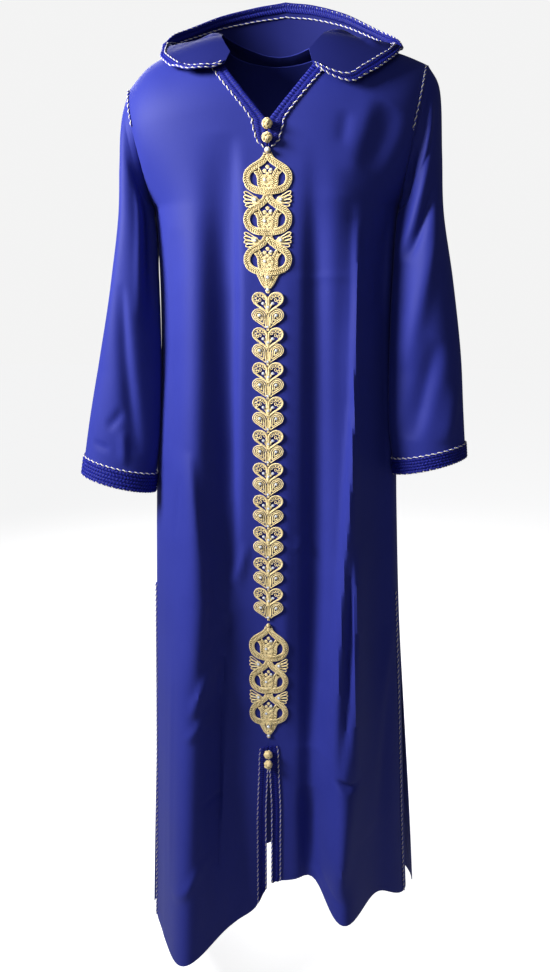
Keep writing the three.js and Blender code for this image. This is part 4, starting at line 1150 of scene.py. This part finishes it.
CUFF_CORD_UP, CUFF_EDGE, CUFF_EDGE_LIFT = 0.002, 0.0008, 0.0012
round_cuff = np.linspace(SEAM_TURN * 2, 1 - SEAM_TURN * 2, 400) * FULL_TURN
for end, face in SLEEVE_FACES:
    cord(
        f"cuff_cord_{end}",
        (face, round_cuff, np.full_like(round_cuff, CUFF_BRAID_TOP - CUFF_CORD_UP)),
        (face, round_cuff, np.full_like(round_cuff, SLEEVE_LENGTH - CUFF_EDGE), CUFF_EDGE_LIFT),
    )

# ---- Crystals ----------------------------------------------------------------------------------
# Small glass chatons, each a faceted stone in a thin silver cup, are stitched into the gold work.
# One is modelled here and copied to every place.
STONE = 0.0021
STONE_HIGH = 0.0017
STONE_SIDES, STONE_DEPTH, STONE_UP = 8, 0.6, 0.7  # depth and middle as shares of its height
TABLE = 0.55  # width of a stone's flat top over its foot
CUP_SIDES, CUP_WIDTH, CUP_DEPTH, CUP_UP = 12, 1.12, 0.45, 0.22
TURNED, ONE_SIDE = 17, 45  # degrees by which each stone is turned from the last, up to one side

# The glass glows a faint blue-white by its emission: painted glow.
glass = Finish(
    "crystal_glass",
    {
        "Metallic": 0.35,
        "Coat Weight": 0.6,
        "IOR": 1.7,
        "Emission Color": (0.75, 0.82, 1.0, 1),
        "Emission Strength": 0.3,
    },
)
# Its colour is speckled from grey-blue to white in fine spots: painted glints.
painted_glint = glass.place.noise(1500.0, 1.0)
glass.colour(painted_glint, (0.55, 0.62, 0.72), (1.0, 1.0, 1.0), painted_glint * 0.12 + 0.04)

silver = Finish("silver_cup", {"Metallic": 0.9})
wear = silver.place.noise(800.0)
silver.colour(wear, (0.36, 0.34, 0.3), (0.66, 0.64, 0.58), wear * 0.2 + 0.25)


def joined(pieces):
    """Joins pieces into the first of them, with its place in its mesh."""
    bpy.ops.object.select_all(action="DESELECT")
    for piece in pieces:
        piece.select_set(True)
    bpy.context.view_layer.objects.active = pieces[0]
    bpy.ops.object.join()
    bpy.ops.object.transform_apply(location=True, rotation=True, scale=True)
    return pieces[0]


bpy.ops.object.select_all(action="DESELECT")
bpy.ops.mesh.primitive_cone_add(
    vertices=STONE_SIDES, radius1=STONE, radius2=STONE * TABLE, depth=STONE_HIGH * STONE_DEPTH
)
stone = bpy.context.object
stone.location.z = STONE_HIGH * STONE_UP
stone.data.materials.append(glass.block)
bpy.ops.object.select_all(action="DESELECT")
bpy.ops.mesh.primitive_cylinder_add(
    vertices=CUP_SIDES, radius=STONE * CUP_WIDTH, depth=STONE_HIGH * CUP_DEPTH
)
stone_cup = bpy.context.object
stone_cup.location.z = STONE_HIGH * CUP_UP
stone_cup.data.materials.append(silver.block)
joined([stone, stone_cup]).name = "crystal_master"


def set_crystals(name, places):
    """Copies of the chaton on the front, joined into one piece; each place is x, below, lift and size."""
    copies = []
    for number, (x, below, lift, size) in enumerate(places):
        copy = stone.copy()
        copy.data = stone.data.copy()
        bpy.context.scene.collection.objects.link(copy)
        copy.location = laid(front_face, x, below, lift).tolist()
        copy.rotation_euler = (math.pi / 2, math.radians(TURNED * number % ONE_SIDE), 0)
        copy.scale = (size, size, size)
        copies.append(copy)
    crystals = joined(copies)
    crystals.name = name
    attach(crystals, "root")


# ---- Gold braidwork ----------------------------------------------------------------------------
# Two panels of flat plaits in gold thread, bent into three tiers of crossed loops and sewn flat to
# the centre front. Small coils and crystals fill the loops, and fans of fine cord stand between.
GoldSpot = namedtuple("GoldSpot", "below wide high skew")
UPPER_SPOT = GoldSpot(0.2135, 1.0, 1.0, 0.0)
LOWER_SPOT = GoldSpot(0.951, 0.91, 1.09, 0.06)
TIER = 57.0  # in millimetres, as all flat figures of the gold work are
TIERS = 3
PLAIT_HALF = 4.7
PLAIT_EDGE = 0.00065
STITCH_PITCH, STITCH_SLANT = 2.9, 2.6
# A stitch from the middle of a plait to its edge: share of its slant, share of the half width, rise.
STITCH_BOW = np.array(
    [(0.0, 0.02, -0.6), (0.12, 0.2, 0.1), (0.4, 0.5, 0.5), (0.75, 0.78, 0.2), (1.0, 0.93, -0.5)]
)
STITCH_RADIUS = 0.0008
PLAIT_LIFT = 0.0018
OVER, OVER_REACH = 0.0017, 0.075  # how high a plait rises over another, and over how much of it
BACKING, BACKING_DOWN = 0.0007, 0.0006
EDGE_PLACE, EDGE_DOWN = 0.92, 0.0001
FRONT_OUT = (0.0, -1.0, 0.0)

LOOP = [
    (1.4, 35.0), (5.0, 28.0), (11.0, 23.0), (18.5, 18.6), (25.5, 13.8), (30.2, 7.4), (30.9, 0.0),
    (27.6, -8.0), (20.0, -13.2), (10.5, -15.6), (0.0, -15.8), (-7.2, -12.4), (-10.4, -5.0),
    (-10.8, 3.0), (-13.5, 9.5), (-17.0, 13.5),
]
FOOT = [(13.4, -17.0), (10.0, -25.0), (6.6, -32.5), (2.4, -38.5)]
FOOT_FILL = [(0.0, -17.0), (0.0, -26.0), (0.0, -35.0)]
BUD = [  # small coils: middle and size
    (0.0, 16.8, 2.5), (-4.3, 11.4, 2.7), (4.2, 11.0, 2.6), (0.0, 7.2, 2.4), (-4.6, 3.6, 2.7),
    (4.5, 3.2, 2.7), (0.0, -0.6, 2.6), (-4.2, -5.4, 2.6), (4.2, -5.6, 2.6), (0.0, -8.0, 2.3),
]
TONGUE = [(0.0, 7.5), (0.0, 0.0), (0.0, -8.5)]
PICOTS = [(34.4, -17.0), (35.2, -23.3), (35.0, -29.6), (32.8, -35.6)]
PICOT_ROOT, PICOT_STEP = np.array([12.0, -28.5]), np.array([0.0, -1.6])
PICOT_WAISTS, PICOT_BEND = (0.55, 0.93), 1.7  # where a picot bows out, along it, and how far
PICOT_CORD, PICOT_LIFT = 0.0009, 0.0013
CROSSING = 0.63  # how far along a loop it rises over the other
TONGUE_HALF, FOOT_HALF, FOOT_TAPER, FILL_HALF, FILL_TAPER = 5.2, 4.2, 0.55, 6.0, 0.35
COIL_LIFT = 0.0026
BUD_STONES = [(4.6, 13.5), (-4.6, -0.5)]
SIDE_COIL, SIDE_COIL_SIZE, SIDE_COIL_LIFT, SIDE_COIL_TURNS = (19.0, -27.6), 4.6, 0.0022, 3.5
SIDE_STONE = 1.15
FOOT_COILS, FOOT_COIL_SIZE, FOOT_COIL_LIFT = (-39.0, -44.0), 3.2, 0.003
FOOT_STONES = [(-23.5, 0.0052, 1.2), (-41.5, 0.0038, 1.1)]  # each its y, lift and size


def thread_gold(name, low, high):
    """Metallic gold thread: fine stripes turn round the cord along its flat coordinates."""
    finish = Finish(name, {"Specular IOR Level": 0.6, "Metallic": 0.15})
    stripe = (finish.flat.part(0) * 7200.0 + finish.flat.part(1) * 2600.0).wave()
    age = finish.place.noise(260.0, 3.0)
    finish.colour(stripe * 0.6 + age * 0.4, low, high, age * 0.2 + 0.32)
    finish.raise_by(stripe, 0.00025, 0.7)
    return finish


# The second gold is a near-black brown: painted shade, used for the plaits' backing strips and the cores of
# the woven balls.
GOLDS = [
    thread_gold("gold_thread", (0.95, 0.71, 0.33), (1.0, 0.885, 0.53)),
    thread_gold("gold_thread_shade", (0.06, 0.038, 0.016), (0.2, 0.135, 0.06)),
]


CURVE_STEPS, COIL_STEPS = 14, 26  # for each point of a curve, and each turn of a coil


def curve(points, closed=False):
    """A smooth curve through a few points, as many close ones."""
    ring = [np.array(point, float) for point in points]
    if closed:
        ring = ring[-2:] + ring + ring[:3]
    count = CURVE_STEPS * len(ring)
    at = np.linspace(2, len(ring) - 3, count) if closed else np.linspace(0, len(ring) - 1, count)
    return centripetal([np.broadcast_to(point, (count, len(point))) for point in ring], at)


MM = 0.001


def from_spot(spot, x, y):
    """How far across and below a point of a flat figure, in millimetres, lies on the front."""
    return MM * spot.wide * x, spot.below - MM * (spot.high * y - spot.skew * x)


def on_front(spot, figure, lift):
    """Points of a flat figure laid on the front round a spot, and lifted off it."""
    return laid(front_face, *from_spot(spot, *figure.T), lift)


def set_stones(name, spot, stones):
    """Crystals on a flat figure. Each is its x, y, lift and size."""
    set_crystals(name, [(*from_spot(spot, x, y), lift, size) for x, y, lift, size in stones])


CORD_STEP, PLAIT_STEP = 1.1, 1.05


def lay_cord(bag, spot, figure, radius, lift):
    bag.add_cord(on_front(spot, evenly(figure, CORD_STEP)[0], lift), FRONT_OUT, radius)


def lay_plait(bag, spot, route, half=PLAIT_HALF, over=None, taper=1.0):
    """A flat plait along a route: a backing strip, two rows of slanting stitches and corded edges."""
    path, at = evenly(curve(route), PLAIT_STEP)
    ahead = unit(np.gradient(path, axis=0))
    halves = half * (1 + (taper - 1) * at / at[-1])
    sideways = np.stack([-ahead[:, 1], ahead[:, 0]], axis=1) * halves[:, None]
    lift = np.full(len(path), PLAIT_LIFT)
    if over is not None:
        lift = lift + OVER * np.exp(-(((at / at[-1] - over) / OVER_REACH) ** 4))
    edges = [on_front(spot, path + sideways * place, lift - BACKING_DOWN) for place in (1, 0, -1)]
    backing = np.stack(edges, axis=1)
    under = backing + np.array([0.0, BACKING, 0.0])
    # The backing strip takes the dark second gold: painted shade showing between the stitches.
    bag.add_wall(backing, under, backing[..., [0, 2]], 1)
    laid_out = np.concatenate([path, sideways, lift[:, None]], axis=1)
    for side in (1, -1):
        edge = on_front(spot, path + sideways * side * EDGE_PLACE, lift - EDGE_DOWN)
        bag.add_cord(edge, FRONT_OUT, PLAIT_EDGE)
        starts = np.arange(0.0, at[-1] - STITCH_SLANT, STITCH_PITCH) + (side + 1) / 4 * STITCH_PITCH
        along_plait = (starts[:, None] + STITCH_SLANT * STITCH_BOW[:, 0]).ravel()
        stitch = read_at(along_plait, at, laid_out)
        out, rise = np.tile(STITCH_BOW[:, 1:], (len(starts), 1)).T
        figure = stitch[:, 0:2] + stitch[:, 2:4] * (side * out)[:, None]
        points = on_front(spot, figure, stitch[:, 4] + MM * rise).reshape(len(starts), -1, 3)
        for path_of_stitch in points:
            bag.add_cord(path_of_stitch, FRONT_OUT, STITCH_RADIUS)


COIL_CORD, COIL_FALL = 0.0008, 0.0006
COIL_EYE = 0.12  # of its size, where its cord begins


def lay_coil(bag, spot, x, y, size, lift, turns=2.5):
    """A flat coil of fine cord, wound from its middle outwards."""
    turn = np.linspace(0, 2 * math.pi * turns, int(COIL_STEPS * turns))
    out = size * (COIL_EYE + (1 - COIL_EYE) * turn / turn[-1])
    figure = np.stack([x + out * np.cos(turn), y + out * np.sin(turn)], axis=1)
    bag.add_cord(on_front(spot, figure, lift - COIL_FALL * turn / turn[-1]), FRONT_OUT, COIL_CORD)


def mirrored(points, side, drop=0.0):
    return [(side * x, y - drop) for x, y in points]


for end, spot in [("upper", UPPER_SPOT), ("lower", LOWER_SPOT)]:
    bag = Bag()
    stones = []
    for tier in range(TIERS):
        drop = tier * TIER
        first = 1 if tier % 2 else -1
        lay_plait(bag, spot, mirrored(LOOP, first, drop))
        lay_plait(bag, spot, mirrored(LOOP, -first, drop), over=CROSSING)
        lay_plait(bag, spot, mirrored(TONGUE, 1, drop), half=TONGUE_HALF)
        for x, y, size in BUD:
            lay_coil(bag, spot, x, y - drop, size, COIL_LIFT)
        stones += [(x, y - drop, COIL_LIFT, 1.0) for x, y in BUD_STONES]
        if tier == TIERS - 1:
            continue
        for side in (1, -1):
            for number, tip in enumerate(PICOTS):
                root = PICOT_ROOT + PICOT_STEP * number
                reach = np.array(tip) - root
                bow = np.array([-reach[1], reach[0]]) / np.linalg.norm(reach) * PICOT_BEND
                out = [root + reach * waist + bow for waist in PICOT_WAISTS]
                home = [root + reach * waist - bow for waist in PICOT_WAISTS[::-1]]
                hairpin = curve(mirrored([root, *out, tip, *home, root], side, drop))
                lay_cord(bag, spot, hairpin, PICOT_CORD, PICOT_LIFT)
            x, y = side * SIDE_COIL[0], SIDE_COIL[1] - drop
            lay_coil(bag, spot, x, y, SIDE_COIL_SIZE, SIDE_COIL_LIFT, SIDE_COIL_TURNS)
            stones.append((x, y, COIL_LIFT, SIDE_STONE))
    drop = (TIERS - 1) * TIER
    for side in (1, -1):
        lay_plait(bag, spot, mirrored(FOOT, side, drop), half=FOOT_HALF, taper=FOOT_TAPER)
    lay_plait(bag, spot, mirrored(FOOT_FILL, 1, drop), half=FILL_HALF, taper=FILL_TAPER)
    for y in FOOT_COILS:
        lay_coil(bag, spot, 0, y - drop, FOOT_COIL_SIZE, FOOT_COIL_LIFT)
    stones += [(0, y - drop, lift, size) for y, lift, size in FOOT_STONES]
    panel = bag.make(f"gold_panel_{end}", GOLDS, SMOOTH)
    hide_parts(f"braidwork_{end}")
    set_stones(f"gold_panel_{end}_crystals", spot, stones)

# ---- Gold leaves -------------------------------------------------------------------------------
# Below the upper panel runs a chain of twenty heart-shaped pairs of leaves in gold cord. Pairs of
# openwork, with small loops inside a rim, alternate with pairs coiled solid. Each holds crystals.
LEAF_TOP = 0.3735
LEAF_PITCH = 0.02615
LEAF_PAIRS = 20
LOBE = [
    (1.5, -8.0), (5.0, -2.5), (12.0, 0.2), (18.8, -1.4), (22.6, -7.6), (20.6, -14.0), (13.0, -20.0),
    (5.0, -25.6), (0.9, -29.0), (1.2, -18.0),
]
LOBE_EYE = np.array([12.6, -9.4])
COIL_TURNS = 3.9
EYELETS = [  # middle, length, width and slant of each small loop inside a lobe
    (5.6, -7.6, 2.4, 1.5, 60), (9.3, -4.2, 2.5, 1.6, 100), (13.6, -3.7, 2.5, 1.6, 75),
    (17.6, -5.2, 2.5, 1.6, 40), (18.6, -9.4, 2.4, 1.5, 0), (15.8, -12.6, 2.3, 1.5, -45),
    (11.6, -10.4, 2.2, 1.6, 90),
]
EYELET_STEPS = 15
STEMS = [  # top, foot and radius of the cords down the middle of a pair
    ((0.9, -5.5), (0.9, -29.5), 0.0011),
    ((2.9, -11.0), (2.3, -25.5), 0.001),
]
STEM_LIFT = 0.0011
VEIN = np.array([(1.6, -26.0), (4.0, -20.0), (2.0, -15.5)])
VEIN_GROWTH = np.array([(0.0, 9.0), (3.0, 4.0), (9.5, 0.0)])  # what its points gain with its reach
VEIN_REACHES = (0.3, 0.55, 0.8)
LeafCord = namedtuple("LeafCord", "radius lift")
RIM_CORD, INNER_RIM_CORD = LeafCord(0.00105, 0.0018), LeafCord(0.00075, 0.0012)
EYELET_CORD, VEIN_CORD = LeafCord(0.0006, 0.0014), LeafCord(0.0008, 0.0014)
SOLID_CORD = LeafCord(0.0009, 0.0016)
INNER_RIM = 0.86
WINDING_STEPS, WINDING_SHRINK = 5, 0.93
DOME, DOME_REACH = 0.0008, 9.0
LeafKind = namedtuple("LeafKind", "scale up raised stem_stone")
OPENWORK = LeafKind(1.03, 0.0, 0.0012, (0.4, -21.0, 0.0032, 0.95))
SOLID = LeafKind(1.1, 0.0025, 0.0004, (-0.4, -26.5, 0.0032, 0.95))
OPENWORK_STONE, OPENWORK_STONE_LIFT, SOLID_STONE_LIFT = (7.4, -15.6), 0.0026, 0.0034
LOBE_STONE = 1.05

lobe_shape = curve(LOBE, closed=True)
for pair in range(LEAF_PAIRS):
    kind = SOLID if pair % 2 else OPENWORK
    spot = GoldSpot(LEAF_TOP + pair * LEAF_PITCH - kind.up, kind.scale, kind.scale, 0.0)
    bag = Bag()
    stones = [kind.stem_stone]
    for side in (1, -1):
        turned = np.array([side, 1.0])
        for stem_top, stem_foot, thick in STEMS:
            lay_cord(bag, spot, np.array([stem_top, stem_foot]) * turned, thick, STEM_LIFT)
        if kind is OPENWORK:
            within = LOBE_EYE + (lobe_shape - LOBE_EYE) * INNER_RIM
            figures = [(lobe_shape, RIM_CORD), (within, INNER_RIM_CORD)]
            for x, y, long, wide, slant in EYELETS:
                turn = np.linspace(0, 2 * math.pi, EYELET_STEPS)
                lean = math.radians(slant)
                oval = np.stack([
                    x + long * np.cos(turn) * math.cos(lean) - wide * np.sin(turn) * math.sin(lean),
                    y + long * np.cos(turn) * math.sin(lean) + wide * np.sin(turn) * math.cos(lean),
                ], axis=1)
                figures.append((oval, EYELET_CORD))
            figures += [(curve(VEIN + VEIN_GROWTH * reach), VEIN_CORD) for reach in VEIN_REACHES]
            for figure, (radius, lift) in figures:
                lay_cord(bag, spot, figure * turned, radius, lift + kind.raised)
            x, y = OPENWORK_STONE
            stones.append((side * x, y, OPENWORK_STONE_LIFT + kind.raised, LOBE_STONE))
        else:
            wound = np.linspace(0.0, COIL_TURNS, WINDING_STEPS * len(lobe_shape))
            shrink = 1 - wound / COIL_TURNS * WINDING_SHRINK
            part = np.mod(wound, 1) * (len(lobe_shape) - 1)
            ring = read_at(part, np.arange(len(lobe_shape)), lobe_shape)
            path = evenly(LOBE_EYE + (ring - LOBE_EYE) * shrink[:, None], CORD_STEP)[0]
            from_eye = np.hypot(*(path - LOBE_EYE).T)
            lift = SOLID_CORD.lift + kind.raised + DOME * np.exp(-((from_eye / DOME_REACH) ** 2))
            bag.add_cord(on_front(spot, path * turned, lift), FRONT_OUT, SOLID_CORD.radius)
            x, y = LOBE_EYE
            stones.append((side * x, y, SOLID_STONE_LIFT + kind.raised, LOBE_STONE))
    leaf = bag.make(f"gold_leaves_{pair + 1:02d}", GOLDS, SMOOTH)
    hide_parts(f"leaf_pair_{pair + 1:02d}")
    set_stones(f"leaf_crystals_{pair + 1:02d}", GoldSpot(spot.below, 1.0, 1.0, 0.0), stones)

# ---- Woven buttons and beads -------------------------------------------------------------------
# Round buttons woven from gold cord over a core, as a ball knot of five leads and six bights. Two
# close the foot of the V and two the top of the slit. Small beads of the same knot join the trims.
LEADS = 5
BIGHTS = 6
KNOT_REACH = math.radians(74)
BUTTON = (0.0076, 0.00085)
WOVEN_BALLS = [  # node, radius, half thickness of its cord
    ("button_upper_1", *BUTTON), ("button_upper_2", *BUTTON), ("bead_upper", 0.0044, 0.00055),
    ("bead_lower", 0.0033, 0.00045), ("button_lower_1", *BUTTON), ("button_lower_2", *BUTTON),
]
WEAVE, STRANDS_IN, STRANDS_APART, CORE_IN = 0.85, 1.6, 0.95, 2.4  # all in half thicknesses of cord


def on_sphere(level, bearing):
    """Directions by their angle up from the middle and their bearing."""
    level_out = np.cos(level)
    return np.stack([level_out * np.cos(bearing), level_out * np.sin(bearing), np.sin(level)], axis=-1)


KNOT_STEPS, CORE_ROWS, CORE_COLUMNS = 361, 9, 15
FIRST_LEAN, NEXT_LEAN = 20, 37  # degrees by which each ball is turned from the last
TILT = (0.6, 0.8)  # sine and cosine of each ball's tilt
for turn_number, (ball_node, radius, strand) in enumerate(WOVEN_BALLS):
    low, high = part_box(ball_node)
    middle = np.array((low + high) / 2)
    bag = Bag()
    turn = np.linspace(0, 2 * math.pi * LEADS, KNOT_STEPS)[:-1]
    tilt = KNOT_REACH * np.sin(BIGHTS * turn / LEADS)
    weave = strand * WEAVE * np.sin((LEADS - 1) * BIGHTS * turn / LEADS)
    out = on_sphere(tilt, turn)
    lean = math.radians(FIRST_LEAN + NEXT_LEAN * turn_number)
    roll = np.array([
        [math.cos(lean), 0, math.sin(lean)],
        [math.sin(lean) * TILT[0], TILT[1], -math.cos(lean) * TILT[0]],
        [-math.sin(lean) * TILT[1], TILT[0], math.cos(lean) * TILT[1]],
    ])
    beside = unit(np.cross(out, np.roll(out, -1, axis=0) - np.roll(out, 1, axis=0)))
    for place in (-1, 1):
        path = out * (radius - strand * STRANDS_IN + weave)[:, None]
        path = path + beside * strand * STRANDS_APART * place
        bag.add_cord(middle + path @ roll.T, out @ roll.T, strand, closed=True)
    bearing, level = grid(
        np.linspace(0, 2 * math.pi, CORE_COLUMNS), np.linspace(-math.pi / 2, math.pi / 2, CORE_ROWS)
    )
    core = on_sphere(level, bearing) * (radius - strand * CORE_IN)
    # The core takes the dark second gold: painted shade inside the woven cord.
    bag.add_wall(middle + core[::-1], middle + core[::-1] * 0.5, core[..., [0, 2]], 1)
    ball = bag.make(f"woven_{ball_node}", GOLDS, SMOOTH)
    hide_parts(ball_node)

bead_low, bead_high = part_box("bead_upper")
bead_below = NECK_POINT - (bead_low.z + bead_high.z) / 2
BEAD_STONE_LIFT, BEAD_STONE = 0.0088, 1.5
set_crystals("bead_crystal", [(0.0, bead_below, BEAD_STONE_LIFT, BEAD_STONE)])
bpy.data.objects.remove(stone)
